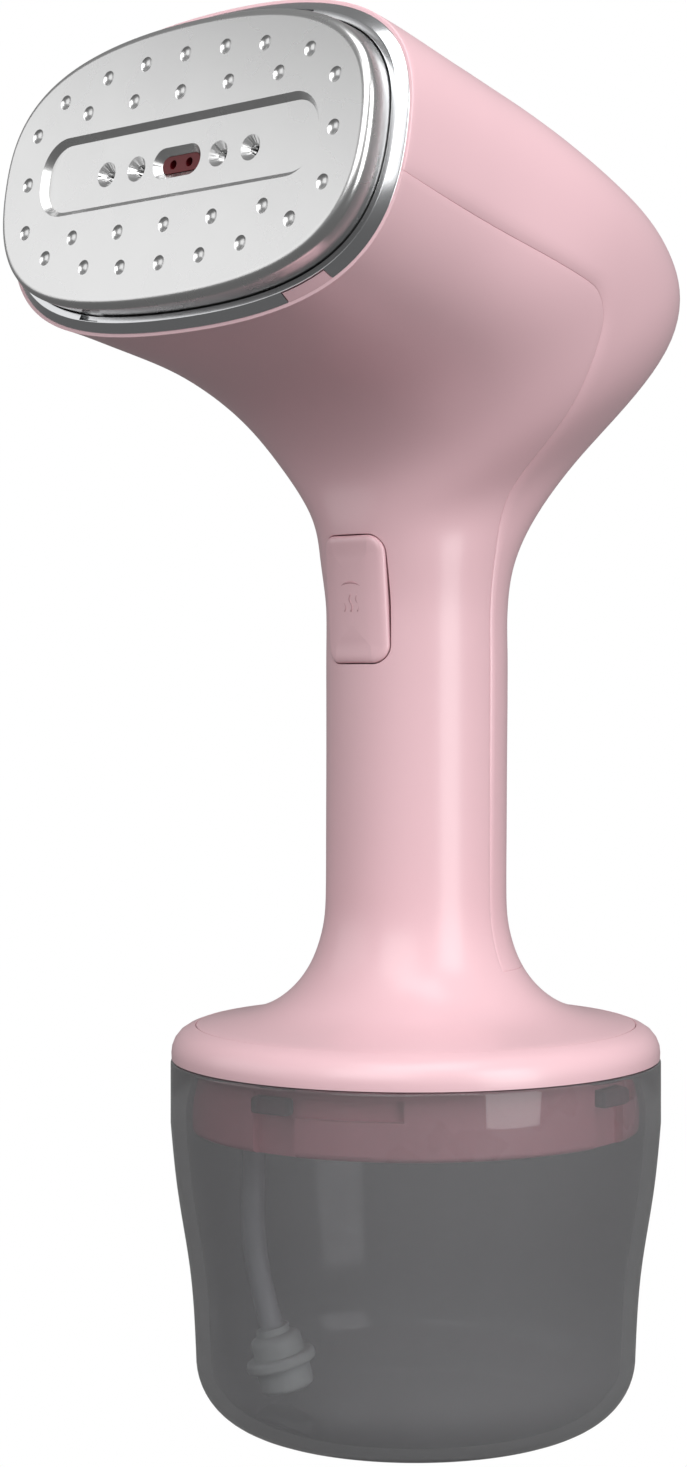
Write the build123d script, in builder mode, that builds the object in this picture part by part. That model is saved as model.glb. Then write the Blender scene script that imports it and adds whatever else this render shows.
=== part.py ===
from build123d import *
from math import cos, radians, sin
import os

# Hand-held garment steamer. Millimetres, +Z up the handle, steam plate towards -Y.
# The origin is the centre of the water tank's flat underside.

# ---- water tank and the collar it twists onto
TANK_HEIGHT = 73.7
TANK_MOUTH_RADIUS = 50.2
TANK_FOOT_RADIUS = 45.0
TANK_FOOT_CORNER = 13.0
TANK_SHOULDER = 61.0
TANK_WALL = 3.0
TANK_FLOOR = 2.6
COLLAR_RADIUS = 45.8
COLLAR_INNER_RADIUS = 42.2
COLLAR_BOTTOM = 60.0
COLLAR_TOP = 75.5
COLLAR_FLOOR = 62.0
COLLAR_FLOOR_THICKNESS = 2.5
LUG_COUNT = 4
LUG_CENTRE_DEG = 6.25
LUG_WIDTH_DEG = 10.5
LUG_BOTTOM = 68.0
LUG_HEIGHT = 3.0
LUG_REACH = 2.5
LUG_PLAY = 0.5
SLOT_DEPTH = 1.6
SLOT_PLAY_DEG = 1.0
TANK_TURN_DEG = 27.0

# ---- round rim, seal and flare under the handle
RIM_BOTTOM = 74.0
RIM_RADIUS = 50.0
CREASE_RADIUS = 45.0
CREASE_Z = 80.7
RIM_SHELF = 78.2
RIM_HOLE_RADIUS = 34.0
SEAL_INNER = 46.3
SEAL_OUTER = 49.0
SEAL_HEIGHT = 1.4
COLLAR_SCREW_CIRCLE = 38.5
HANDLE_FOOT = 102.0
HANDLE_FOOT_RADIUS = 18.8
HANDLE_RADIUS = 18.4
HANDLE_TOP = 149.0

# ---- casing: a tube that rises as the handle, then fans round to the mouth
BEND_Y = -75.0
BEND_Z = 165.0
MOUTH_ANGLE = 80.22
SHELL_WALL = 2.4
REAR_SHELL_PROUD = 0.45
SEAM_Y = 2.0
SEAM_BOTTOM = 92.5
SEAM_CORNER_Z = 225.5
SEAM_SLOPE_DEG = 13.0
SEAM_CORNER_RADIUS = 9.0
# angle, inner edge, outer edge, half width, exponent of the outer and of the inner half, shoulder
FAN = [
    (0.0, 56.6, 93.4, 18.4, 2.0, 2.0, 0.0),
    (10.0, 56.6, 99.2, 20.0, 2.2, 2.1, 0.0),
    (18.0, 57.7, 118.6, 25.2, 2.5, 2.15, 0.0),
    (26.0, 60.9, 140.6, 39.8, 2.8, 2.2, 0.0),
    (34.0, 61.5, 140.6, 46.8, 3.1, 2.3, 0.0),
    (44.0, 59.6, 129.0, 50.6, 3.3, 2.4, 0.05),
    (56.0, 55.3, 119.8, 51.4, 3.3, 2.5, 0.14),
    (68.0, 52.4, 115.0, 52.2, 3.2, 2.6, 0.26),
    (MOUTH_ANGLE, 51.8, 115.0, 53.8, 3.1, 2.7, 0.38),
]

# ---- steam plate, its chromed ring and the boiler behind it
FACE_TILT = 90 - MOUTH_ANGLE
FACE_Y = -67.79
FACE_Z = 248.65
FACE_DROP = 0.3
PLATE_HALF_WIDTH = 49.9
PLATE_HALF_HEIGHT = 27.7
TOP_EXPONENT = 3.1
LOW_EXPONENT = 2.7
SHOULDER = 0.38
PLATE_DEPTH = 9.0
PLATE_SKIN = 4.0
PLATE_EDGE = 1.5
RING_FRONT = 5.5
MOUTH_DEPTH = 7.1
RING_BACK = 11.0
RING_NECK = (51.0, 28.9)
RING_FACE_STEP = 1.5
RING_SKIRT_STEP = 3.4
RING_FIT = 0.15
KEY_ALONG = 32.5
KEY_UP = -24.0
KEY_LENGTH = 10.5
KEY_TURN_DEG = 21.0
KEY_ROOT = 1.2
RING_GAP = 0.25
RECESS_DEPTH = 1.2
BOILER_FRONT = 5.5
BOILER_BACK = 24.0
BOILER_HALF_WIDTH = 44.0
BOILER_HALF_HEIGHT = 22.5
LID_THICKNESS = 3.0
ELEMENT_RADIUS = 3.0

# ---- button and switch
BUTTON_BOTTOM = 154.5
BUTTON_TOP = 180.0
BUTTON_HALF_WIDTH = 8.0
BUTTON_CORNER = 3.5
BUTTON_PROUD = 0.8
BUTTON_GAP = 0.25
BUTTON_AXIS_Z = 167.0
SWITCH_FRONT = -4.5
BOARD_FRONT = 2.0
BOARD_THICKNESS = 1.6

# ---- pump on the handle's axis
PUMP_BOTTOM = 112.0
PUMP_TOP = 147.0
PUMP_BORE_RADIUS = 4.0
PLUNGER_RADIUS = 3.95
HOSE_RADIUS = 2.4
HOSE_BORE = 1.55
NIPPLE_RADIUS = 1.5
GLAND_Z = 103.0
GLAND_IN = 11.6
GLAND_OUT = 20.8
CORD_RADIUS = 3.35

# ---- free hose in the tank, with its weight
INTAKE = [(-24.7, -22.4, 58.0), (-24.7, -22.4, 49.0), (-24.9, -22.6, 39.0), (-24.0, -21.8, 29.0),
          (-21.9, -19.9, 18.5)]
INTAKE_RADIUS = 2.35
WEIGHT_LENGTH = 8.2
FILTER_LENGTH = 5.0

# ---- screws
SCREW_RADIUS = 1.45
SCREW_HOLE = 1.5
SCREW_HEAD = 2.7
CASING_SCREW_X = 22.0
CASING_SCREW_Z = 208.0
CASING_SCREW_SPLIT = 8.0


def fullness(exponent):
    """Bezier handle length that makes a quarter arc as full as a superellipse."""
    return (8 * 2 ** (-1 / exponent) - 4) / 3


def oval(half_width, top, bottom, top_exponent, low_exponent, shoulder=0.0):
    """Closed outline of four Bezier quarters, fuller than an ellipse.

    The shoulder flattens the top into a bow with tighter corners.
    """
    high = fullness(top_exponent)
    low = fullness(low_exponent)
    side = high - shoulder
    bow = high + 0.4 * shoulder
    with BuildLine() as outline:
        Bezier((half_width, 0), (half_width, side * top), (bow * half_width, top), (0, top))
        Bezier((0, top), (-bow * half_width, top), (-half_width, side * top), (-half_width, 0))
        Bezier((-half_width, 0), (-half_width, -low * bottom), (-low * half_width, -bottom), (0, -bottom))
        Bezier((0, -bottom), (low * half_width, -bottom), (half_width, -low * bottom), (half_width, 0))
    return outline.line


def head_plane(depth, along=0.0, up=0.0):
    """Plane parallel to the steam plate, depth behind its face; x is sideways, y is up."""
    tilt = radians(FACE_TILT)
    rise = up - FACE_DROP
    y = FACE_Y + depth * cos(tilt) + rise * sin(tilt)
    z = FACE_Z - depth * sin(tilt) + rise * cos(tilt)
    return Plane(origin=(along, y, z), x_dir=(1, 0, 0), z_dir=(0, -cos(tilt), sin(tilt)))


def head_oval(half_width, half_height):
    """Outline of the same kind as the steam plate's."""
    return oval(half_width, half_height, half_height, TOP_EXPONENT, LOW_EXPONENT, SHOULDER)


def plate_outline(step):
    """Outline of the steam plate, offset outwards by step."""
    return head_oval(PLATE_HALF_WIDTH + step, PLATE_HALF_HEIGHT + step)


def head_point(along, up, depth):
    return head_plane(depth, along, up).origin


def fan_plane(angle, middle):
    """Section plane of the casing, hinged about the line under the chin."""
    turn = radians(angle)
    centre = (0, BEND_Y + middle * cos(turn), BEND_Z + middle * sin(turn))
    return Plane(origin=centre, x_dir=(1, 0, 0), z_dir=(0, -sin(turn), cos(turn)))


def casing_form(grow, run_on=0.0):
    """Closed form of the handle and head, grown outwards; outward growth fades out at both ends."""
    end_grow = min(grow, 0.0)
    with BuildPart() as form:
        for height, radius in ((HANDLE_FOOT, HANDLE_FOOT_RADIUS + end_grow),
                               (HANDLE_TOP, HANDLE_RADIUS + grow)):
            with BuildSketch(Plane.XY.offset(height)):
                with BuildLine():
                    add(oval(radius, radius, radius, 2.0, 2.0))
                make_face()
        loft(ruled=True)
        for height in (HANDLE_TOP, (HANDLE_TOP + BEND_Z) / 2):
            with BuildSketch(Plane.XY.offset(height)):
                with BuildLine():
                    add(oval(HANDLE_RADIUS + grow, HANDLE_RADIUS + grow, HANDLE_RADIUS + grow, 2.0, 2.0))
                make_face()
        for angle, inner, outer, half_width, rear_exponent, front_exponent, shoulder in FAN:
            swell = end_grow if angle == MOUTH_ANGLE else grow
            half_depth = (outer - inner) / 2 + swell
            with BuildSketch(fan_plane(angle, (inner + outer) / 2)):
                with BuildLine():
                    add(oval(half_width + swell, half_depth, half_depth, rear_exponent, front_exponent,
                             shoulder))
                make_face()
        loft()
        if run_on:
            extrude(form.faces().sort_by(Axis.Z)[0], amount=run_on)
            extrude(form.faces().sort_by(Axis.Y)[0], amount=run_on)
    return form.part


def flare_form():
    """Solid flare from the handle's foot out to the crease, on the same Bezier circles."""
    profile = [(18.8, 102.0), (20.0, 97.0), (21.9, 92.5), (24.9, 88.4), (30.1, 84.5), (37.2, 82.2),
               (45.0, 80.7)]
    with BuildPart() as form:
        for radius, height in profile:
            with BuildSketch(Plane.XY.offset(height)):
                with BuildLine():
                    add(oval(radius, radius, radius, 2.0, 2.0))
                make_face()
        loft()
        with BuildSketch(Plane.XY.offset(RIM_SHELF)):
            with BuildLine():
                add(oval(CREASE_RADIUS, CREASE_RADIUS, CREASE_RADIUS, 2.0, 2.0))
            make_face()
        extrude(amount=CREASE_Z - RIM_SHELF)
    return form.part


def flare_cavity():
    with BuildPart() as cavity:
        with BuildSketch(Plane.XZ):
            with BuildLine():
                Polyline((0, RIM_SHELF - 1), (42.6, RIM_SHELF - 1), (42.6, 78.6))
                Spline((42.6, 78.6), (29.0, 82.0), (22.8, 87.0), (19.5, 91.6), (16.4, 99.5),
                       tangents=[(-1, 0.15), (-0.3, 1)])
                Polyline((16.4, 99.5), (0, 99.5), (0, RIM_SHELF - 1))
            make_face()
        revolve(axis=Axis.Z)
    return cavity.part


def rear_zone():
    """Block that holds everything behind and above the seam."""
    corner = (SEAM_Y, SEAM_CORNER_Z)
    reach = 80.0
    front = (SEAM_Y - reach, SEAM_CORNER_Z + reach * sin(radians(SEAM_SLOPE_DEG)))
    with BuildPart() as zone:
        with BuildSketch(Plane.YZ):
            with BuildLine():
                FilletPolyline((SEAM_Y, SEAM_BOTTOM), corner, front, radius=SEAM_CORNER_RADIUS)
                Polyline(front, (front[0], 320), (120, 320), (120, SEAM_BOTTOM), (SEAM_Y, SEAM_BOTTOM))
            make_face()
        extrude(amount=80, both=True)
    return zone.part


def casing_bosses():
    """Solid screw posts right through the head, later shared between the two shells."""
    with BuildPart() as posts:
        with BuildSketch(Plane.XZ.offset(30)):
            with Locations((CASING_SCREW_X, CASING_SCREW_Z), (-CASING_SCREW_X, CASING_SCREW_Z)):
                Circle(3.6)
        extrude(amount=-110)
    return posts.part


def screw_bores(radius, start, end):
    """Pair of round bores along Y at the casing screws, from start to end."""
    with BuildPart() as bores:
        with BuildSketch(Plane.XZ.offset(-start)):
            with Locations((CASING_SCREW_X, CASING_SCREW_Z), (-CASING_SCREW_X, CASING_SCREW_Z)):
                Circle(radius)
        extrude(amount=-(end - start))
    return bores.part


def y_slice(start, end):
    with BuildPart() as block:
        with BuildSketch(Plane.XZ.offset(-start)):
            with Locations((0, 200)):
                Rectangle(200, 300)
        extrude(amount=-(end - start))
    return block.part


def button_prism(margin, height_margin=0.0):
    """Rounded block along Y that outlines the button."""
    middle = (BUTTON_BOTTOM + BUTTON_TOP) / 2
    with BuildPart() as prism:
        with BuildSketch(Plane.XZ.offset(10)):
            with Locations((0, middle)):
                RectangleRounded(2 * (BUTTON_HALF_WIDTH + margin),
                                 BUTTON_TOP - BUTTON_BOTTOM + 2 * (margin + height_margin),
                                 BUTTON_CORNER + margin)
        extrude(amount=30)
    return prism.part


def tube(path_points, radii, radius, bore=0.0):
    """Round tube along straight runs joined by tangent arcs."""
    with BuildPart() as made:
        with BuildLine() as route:
            if len(path_points) > 2:
                FilletPolyline(*path_points, radius=radii)
            else:
                Line(*path_points)
        with BuildSketch(Plane(origin=route.line @ 0, z_dir=route.line % 0)):
            Circle(radius)
            if bore:
                Circle(bore, mode=Mode.SUBTRACT)
        sweep(path=route.line)
    return made.part


def corner_radii(points, smallest):
    """Largest even arcs: 0.45 of the shorter run over the tangent of half the turn."""
    radii = []
    for before, here, after in zip(points, points[1:], points[2:]):
        first = Vector(*here) - Vector(*before)
        second = Vector(*after) - Vector(*here)
        half_turn = radians(first.get_angle(second)) / 2
        shorter = min(first.length, second.length)
        radii.append(max(0.45 * shorter * cos(half_turn) / sin(half_turn), smallest))
    return radii


OUTER = casing_form(0.0)
PROUD = casing_form(REAR_SHELL_PROUD)
CAVITY = casing_form(-SHELL_WALL, run_on=4.0)


def ring_neck(gap):
    """Plug behind the ring's skirt that sits inside the casing's mouth, with a gap all round."""
    with BuildPart() as neck:
        with BuildSketch(head_plane(MOUTH_DEPTH)):
            with BuildLine():
                add(head_oval(RING_NECK[0] + gap, RING_NECK[1] + gap))
            make_face()
        extrude(amount=MOUTH_DEPTH - RING_BACK - gap)
    return neck.part


def ring_skirt(root=0.0):
    """Sloping outer form of the ring, from its narrow front face back to the casing's lip."""
    root_step = RING_SKIRT_STEP - 0.2
    with BuildPart() as skirt:
        for depth, step in ((RING_FRONT, RING_FACE_STEP), (MOUTH_DEPTH, RING_SKIRT_STEP)):
            with BuildSketch(head_plane(depth)):
                with BuildLine():
                    add(plate_outline(step))
                make_face()
        loft()
        if root:
            with BuildSketch(head_plane(MOUTH_DEPTH)):
                with BuildLine():
                    add(plate_outline(root_step))
                make_face()
            extrude(amount=-root)
    return skirt.part


def key_zone(gap):
    """Short stretch of the skirt, low on one side, that a tab of the casing fills."""
    spot = head_plane(MOUTH_DEPTH + KEY_ROOT, KEY_ALONG, KEY_UP)
    with BuildPart() as zone:
        with BuildSketch(spot.rotated((0, 0, KEY_TURN_DEG))):
            Rectangle(KEY_LENGTH + 2 * gap, 9.0)
        extrude(amount=3 + KEY_ROOT)
        with BuildSketch(head_plane(MOUTH_DEPTH + KEY_ROOT + 1)):
            with BuildLine():
                add(plate_outline(RING_FACE_STEP + RING_FIT - gap))
            make_face()
        extrude(amount=7, mode=Mode.SUBTRACT)
    return zone.part


def front_shell():
    """Front half of the casing: under-side of the head, front of the handle, whole flare."""
    with BuildPart() as shell:
        add(OUTER)
        add(flare_form())
        add(CAVITY, mode=Mode.SUBTRACT)
        add(flare_cavity(), mode=Mode.SUBTRACT)
        add(rear_zone(), mode=Mode.SUBTRACT)
        add(casing_bosses() & OUTER & y_slice(-40, CASING_SCREW_SPLIT))
        add(screw_bores(SCREW_HOLE, CASING_SCREW_SPLIT - 14, CASING_SCREW_SPLIT + 1), mode=Mode.SUBTRACT)
        add(button_prism(BUTTON_GAP), mode=Mode.SUBTRACT)
        add(ring_skirt(KEY_ROOT) & key_zone(0))
        add(ring_neck(RING_FIT), mode=Mode.SUBTRACT)
    return shell


def rear_shell():
    """Rear half of the casing, a little proud of the front one along the seam."""
    gland_hole = 5.0
    with BuildPart() as shell:
        add(PROUD)
        add(flare_form())
        add(CAVITY, mode=Mode.SUBTRACT)
        add(flare_cavity(), mode=Mode.SUBTRACT)
        add(casing_bosses() & OUTER & y_slice(CASING_SCREW_SPLIT, 80))
        add(screw_bores(SCREW_HOLE + 0.2, CASING_SCREW_SPLIT - 1, 60), mode=Mode.SUBTRACT)
        add(screw_bores(SCREW_HEAD + 0.3, CASING_SCREW_SPLIT + 6, 80), mode=Mode.SUBTRACT)
        add(ring_neck(RING_FIT), mode=Mode.SUBTRACT)
        add(rear_zone(), mode=Mode.INTERSECT)
        with BuildSketch(Plane.XZ):
            with Locations((0, GLAND_Z)):
                Circle(gland_hole)
        extrude(amount=-40, mode=Mode.SUBTRACT)
    return shell


def base_rim():
    """Round pink rim that carries the flare above and the collar and seal below."""
    seal_gap = 0.1
    with BuildPart() as rim:
        with BuildSketch(Plane.XZ):
            with BuildLine():
                ThreePointArc((RIM_RADIUS, RIM_BOTTOM), (48.9, 78.4), (CREASE_RADIUS + 0.05, CREASE_Z))
                Polyline((CREASE_RADIUS + 0.05, CREASE_Z), (CREASE_RADIUS + 0.05, RIM_SHELF - 0.05),
                         (RIM_HOLE_RADIUS, RIM_SHELF - 0.05), (RIM_HOLE_RADIUS, COLLAR_TOP),
                         (SEAL_INNER - seal_gap, COLLAR_TOP), (SEAL_OUTER + seal_gap, COLLAR_TOP),
                         (SEAL_OUTER + seal_gap, RIM_BOTTOM), (RIM_RADIUS, RIM_BOTTOM))
            make_face()
        revolve(axis=Axis.Z)
        with BuildSketch(Plane.XY.offset(COLLAR_TOP)):
            with PolarLocations(COLLAR_SCREW_CIRCLE, LUG_COUNT):
                Circle(SCREW_HOLE)
        extrude(amount=5, mode=Mode.SUBTRACT)
    return rim


def turned_slot(start_deg, end_deg, low, high, depth):
    """Part ring cut into the collar from its outside, between two angles."""
    with BuildPart() as cut:
        with BuildSketch(Plane.XZ):
            with Locations((COLLAR_RADIUS - depth, low)):
                Rectangle(depth + 1, high - low, align=(Align.MIN, Align.MIN))
        revolve(axis=Axis.Z, revolution_arc=end_deg - start_deg)
    return cut.part.rotate(Axis.Z, start_deg)


def tank_collar():
    """Bayonet collar: a short cup with four L-shaped slots and four closed screw posts."""
    play = LUG_WIDTH_DEG / 2 + SLOT_PLAY_DEG
    ledge = LUG_BOTTOM - LUG_PLAY
    slot_top = LUG_BOTTOM + LUG_HEIGHT + LUG_PLAY
    post_radius = 4.2
    head_depth = 8.0
    with BuildPart() as collar:
        with BuildSketch(Plane.XY.offset(COLLAR_BOTTOM)):
            Circle(COLLAR_RADIUS)
            Circle(COLLAR_INNER_RADIUS, mode=Mode.SUBTRACT)
        extrude(amount=COLLAR_TOP - COLLAR_BOTTOM)
        fillet(collar.edges().group_by(Axis.Z)[0].sort_by(SortBy.LENGTH)[-1], radius=1.2)
        with BuildSketch(Plane.XY.offset(COLLAR_FLOOR)):
            Circle(COLLAR_INNER_RADIUS)
        extrude(amount=COLLAR_FLOOR_THICKNESS)
        with BuildSketch(Plane.XY.offset(COLLAR_FLOOR)):
            with PolarLocations(COLLAR_SCREW_CIRCLE, LUG_COUNT):
                Circle(post_radius)
        extrude(amount=COLLAR_TOP - COLLAR_FLOOR)
        with BuildSketch(Plane.XY.offset(COLLAR_FLOOR)):
            with PolarLocations(COLLAR_SCREW_CIRCLE, LUG_COUNT):
                Circle(SCREW_HEAD + 0.2)
        extrude(amount=head_depth, mode=Mode.SUBTRACT)
        with BuildSketch(Plane.XY.offset(COLLAR_FLOOR)):
            with PolarLocations(COLLAR_SCREW_CIRCLE, LUG_COUNT):
                Circle(SCREW_HOLE + 0.1)
        extrude(amount=COLLAR_TOP - COLLAR_FLOOR, mode=Mode.SUBTRACT)
        for turn in range(LUG_COUNT):
            middle = LUG_CENTRE_DEG + turn * 360 / LUG_COUNT
            add(turned_slot(middle - play, middle + play, COLLAR_BOTTOM - 1, slot_top, SLOT_DEPTH),
                mode=Mode.SUBTRACT)
            add(turned_slot(middle, middle + play + TANK_TURN_DEG, ledge, slot_top, SLOT_DEPTH),
                mode=Mode.SUBTRACT)
        with BuildSketch(Plane.XY.offset(COLLAR_FLOOR)):
            with Locations(INTAKE[0][:2]):
                Circle(2.5)
            with Locations((0, 30)):
                Circle(2.5)
        extrude(amount=COLLAR_FLOOR_THICKNESS, mode=Mode.SUBTRACT)
    return collar


def tank_seal():
    with BuildPart() as seal:
        with BuildSketch(Plane.XY.offset(RIM_BOTTOM)):
            Circle(SEAL_OUTER)
            Circle(SEAL_INNER, mode=Mode.SUBTRACT)
        extrude(amount=SEAL_HEIGHT)
    return seal


def water_tank():
    """Clear cup with a soft foot, a swelling shoulder and four lugs inside its mouth."""
    wall = TANK_WALL
    side = [(46.25, 31.0), (48.75, 47.0)]
    with BuildPart() as tank:
        with BuildSketch(Plane.XZ):
            with BuildLine():
                Line((0, 0), (TANK_FOOT_RADIUS - TANK_FOOT_CORNER, 0))
                JernArc((TANK_FOOT_RADIUS - TANK_FOOT_CORNER, 0), (1, 0), TANK_FOOT_CORNER, 90)
                Spline((TANK_FOOT_RADIUS, TANK_FOOT_CORNER), *side, (TANK_MOUTH_RADIUS, TANK_SHOULDER),
                       tangents=[(0.03, 1), (0, 1)])
                Polyline((TANK_MOUTH_RADIUS, TANK_SHOULDER), (TANK_MOUTH_RADIUS, TANK_HEIGHT),
                         (TANK_MOUTH_RADIUS - wall, TANK_HEIGHT), (TANK_MOUTH_RADIUS - wall, TANK_SHOULDER))
                Spline((TANK_MOUTH_RADIUS - wall, TANK_SHOULDER), *[(r - wall, z) for r, z in side[::-1]],
                       (TANK_FOOT_RADIUS - wall, TANK_FOOT_CORNER), tangents=[(0, -1), (-0.03, -1)])
                JernArc((TANK_FOOT_RADIUS - wall, TANK_FOOT_CORNER), (0, -1), TANK_FOOT_CORNER - TANK_FLOOR,
                        -90)
                inner_flat = TANK_FOOT_RADIUS - wall - TANK_FOOT_CORNER + TANK_FLOOR
                Polyline((inner_flat, TANK_FLOOR), (0, TANK_FLOOR), (0, 0))
            make_face()
        revolve(axis=Axis.Z)
        for turn in range(LUG_COUNT):
            start = LUG_CENTRE_DEG - LUG_WIDTH_DEG / 2 + turn * 360 / LUG_COUNT
            lug = lug_ring(start)
            add(lug)
    return tank


def lug_ring(start_deg):
    inner = TANK_MOUTH_RADIUS - TANK_WALL - LUG_REACH
    with BuildPart() as lug:
        with BuildSketch(Plane.XZ):
            with Locations((inner, LUG_BOTTOM)):
                Rectangle(LUG_REACH + 0.5, LUG_HEIGHT, align=(Align.MIN, Align.MIN))
        revolve(axis=Axis.Z, revolution_arc=LUG_WIDTH_DEG)
    return lug.part.rotate(Axis.Z, start_deg)


def intake_nipple():
    """Barbed nipple through the collar's floor: free hose below, pump hose above."""
    x, y, foot = INTAKE[0]
    with BuildPart() as nipple:
        for low, high, radius in ((foot, COLLAR_FLOOR, 4.2), (COLLAR_FLOOR, COLLAR_FLOOR + 2.5, 2.45),
                                  (COLLAR_FLOOR + 2.5, COLLAR_FLOOR + 4, 3.6),
                                  (COLLAR_FLOOR + 4, 69.3, NIPPLE_RADIUS)):
            with BuildSketch(Plane.XY.offset(low)):
                with Locations((x, y)):
                    Circle(radius)
            extrude(amount=high - low)
        with BuildSketch(Plane.XY.offset(foot)):
            with Locations((x, y)):
                Circle(0.8)
        extrude(amount=20, mode=Mode.SUBTRACT)
    return nipple


def intake_hose():
    radii = corner_radii(INTAKE, 3 * 2 * INTAKE_RADIUS)
    print("intake hose arcs", [round(radius, 1) for radius in radii])
    with BuildPart() as hose:
        add(tube(INTAKE, radii, INTAKE_RADIUS))
    return hose


def weight_plane(along):
    """Cross plane of the weight, along its leaning axis from the hose's end."""
    start, end = Vector(*INTAKE[-2]), Vector(*INTAKE[-1])
    lean = (end - start).normalized()
    return Plane(origin=end + lean * along, z_dir=lean)


def intake_weight():
    """Domed weight with a round flange; the filter plugs into its lower end."""
    with BuildPart() as weight:
        with BuildSketch(weight_plane(0)):
            Circle(3.4)
        extrude(amount=1.4)
        with BuildSketch(weight_plane(1.4)):
            Circle(5.3)
        extrude(amount=4.4)
        fillet(weight.edges().filter_by(GeomType.CIRCLE).filter_by(
            lambda edge: abs(edge.radius - 5.3) < 0.01).sort_by(Axis.Z)[-1], radius=1.6)
        with BuildSketch(weight_plane(5.8)):
            Circle(7.2)
        extrude(amount=WEIGHT_LENGTH - 5.8)
        fillet(weight.edges().filter_by(GeomType.CIRCLE).filter_by(
            lambda edge: abs(edge.radius - 7.2) < 0.01), radius=0.8)
    return weight


def intake_filter():
    with BuildPart() as strainer:
        with BuildSketch(weight_plane(WEIGHT_LENGTH)):
            Circle(5.5)
        extrude(amount=FILTER_LENGTH)
        fillet(strainer.edges().filter_by(GeomType.CIRCLE).sort_by(Axis.Z)[0], radius=1.2)
    return strainer


def air_valve():
    """Rubber duckbill valve that lets air into the tank as water leaves."""
    with BuildPart() as valve:
        for low, high, radius in ((COLLAR_FLOOR - 4, COLLAR_FLOOR, 3.6),
                                  (COLLAR_FLOOR, COLLAR_FLOOR + 2.5, 2.45),
                                  (COLLAR_FLOOR + 2.5, COLLAR_FLOOR + 3.7, 3.6)):
            with BuildSketch(Plane.XY.offset(low)):
                with Locations((0, 30)):
                    Circle(radius)
            extrude(amount=high - low)
        with BuildSketch(Plane.XY.offset(COLLAR_FLOOR - 4)):
            with Locations((0, 30)):
                Rectangle(4.4, 0.6)
        extrude(amount=3, mode=Mode.SUBTRACT)
    return valve


def collar_screws():
    with BuildPart() as screws:
        with BuildSketch(Plane.XY.offset(COLLAR_FLOOR + 6.2)):
            with PolarLocations(COLLAR_SCREW_CIRCLE, LUG_COUNT):
                Circle(SCREW_HEAD)
        extrude(amount=1.75)
        with BuildSketch(Plane.XY.offset(COLLAR_FLOOR + 7)):
            with PolarLocations(COLLAR_SCREW_CIRCLE, LUG_COUNT):
                Circle(SCREW_RADIUS)
        extrude(amount=RIM_SHELF - COLLAR_FLOOR - 7.3)
        with BuildSketch(Plane.XY.offset(COLLAR_FLOOR + 6.2)):
            with PolarLocations(COLLAR_SCREW_CIRCLE, LUG_COUNT):
                Rectangle(3.2, 0.7)
                Rectangle(0.7, 3.2)
        extrude(amount=0.9, mode=Mode.SUBTRACT)
    return screws


def bezel_ring():
    """Chromed ring round the plate: narrow front face, sloping skirt and a neck into the casing."""
    with BuildPart() as ring:
        add(ring_skirt())
        add(ring_neck(0))
        with BuildSketch(head_plane(RING_FRONT - 1)):
            with BuildLine():
                add(plate_outline(RING_GAP))
            make_face()
        extrude(amount=RING_FRONT - 2 - RING_BACK, mode=Mode.SUBTRACT)
        with BuildSketch(head_plane(RING_FRONT)):
            with Locations((25, PLATE_HALF_HEIGHT - 0.9), (-25, -PLATE_HALF_HEIGHT + 1.4)):
                Rectangle(5.6, 2.2)
        extrude(amount=-1.0, mode=Mode.SUBTRACT)
        add(key_zone(RING_FIT), mode=Mode.SUBTRACT)
    return ring


def steam_plate():
    """Pressed metal plate: dimpled face, shallow recess with the steam holes, deep skirt."""
    dimples = [(0, 20.3), (0, 12.9)]
    for u, v in ((10.9, 20.0), (21.5, 18.9), (33.5, 15.8), (40.7, 9.9), (12.9, 12.9), (26.1, 12.5)):
        dimples += [(u, v), (-u, v)]
    dimples += [(u, -v) for u, v in dimples]
    dimples += [(41.8, 0), (-41.8, 0)]
    skirt_wall = 2.6
    dimple_ball = 2.5
    dimple_depth = 0.5
    with BuildPart() as plate:
        with BuildSketch(head_plane(0)):
            with BuildLine():
                add(plate_outline(0))
            make_face()
        extrude(amount=-PLATE_DEPTH)
        face = plate.faces().sort_by(Axis.Y)[0]
        fillet(face.edges(), radius=PLATE_EDGE)
        with BuildSketch(head_plane(PLATE_SKIN)):
            with BuildLine():
                add(plate_outline(-skirt_wall))
            make_face()
        extrude(amount=-PLATE_DEPTH, mode=Mode.SUBTRACT)
        with BuildSketch(head_plane(0)):
            with Locations((0, 0.55)):
                RectangleRounded(75.4, 15.5, 7)
        extrude(amount=-RECESS_DEPTH, mode=Mode.SUBTRACT)
        for u, v in dimples:
            add(Sphere(dimple_ball, mode=Mode.PRIVATE).moved(
                Location(head_point(u, v + FACE_DROP, dimple_depth - dimple_ball))), mode=Mode.SUBTRACT)
        with BuildSketch(head_plane(0)):
            with Locations((-19.7, 0), (-11.2, 0), (11.2, 0), (19.7, 0)):
                Circle(1.2)
            SlotOverall(10.4, 3.5)
        extrude(amount=-PLATE_SKIN, mode=Mode.SUBTRACT)
        with Locations(*[head_plane(RECESS_DEPTH + 0.6, u) for u in (-19.7, -11.2, 11.2, 19.7)]):
            Cone(1.2, 2.5, 1.3, align=(Align.CENTER, Align.CENTER, Align.MIN), mode=Mode.SUBTRACT)
    return plate


def nozzle_insert():
    with BuildPart() as insert:
        with BuildSketch(head_plane(PLATE_SKIN + 1.4)):
            SlotOverall(14, 7)
        extrude(amount=1.4)
        with BuildSketch(head_plane(PLATE_SKIN)):
            SlotOverall(10.2, 3.3)
        extrude(amount=1.6)
        with BuildSketch(head_plane(0)):
            with Locations((-2.2, 0), (2.2, 0)):
                Circle(0.9)
        extrude(amount=-10, mode=Mode.SUBTRACT)
    return insert


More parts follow.
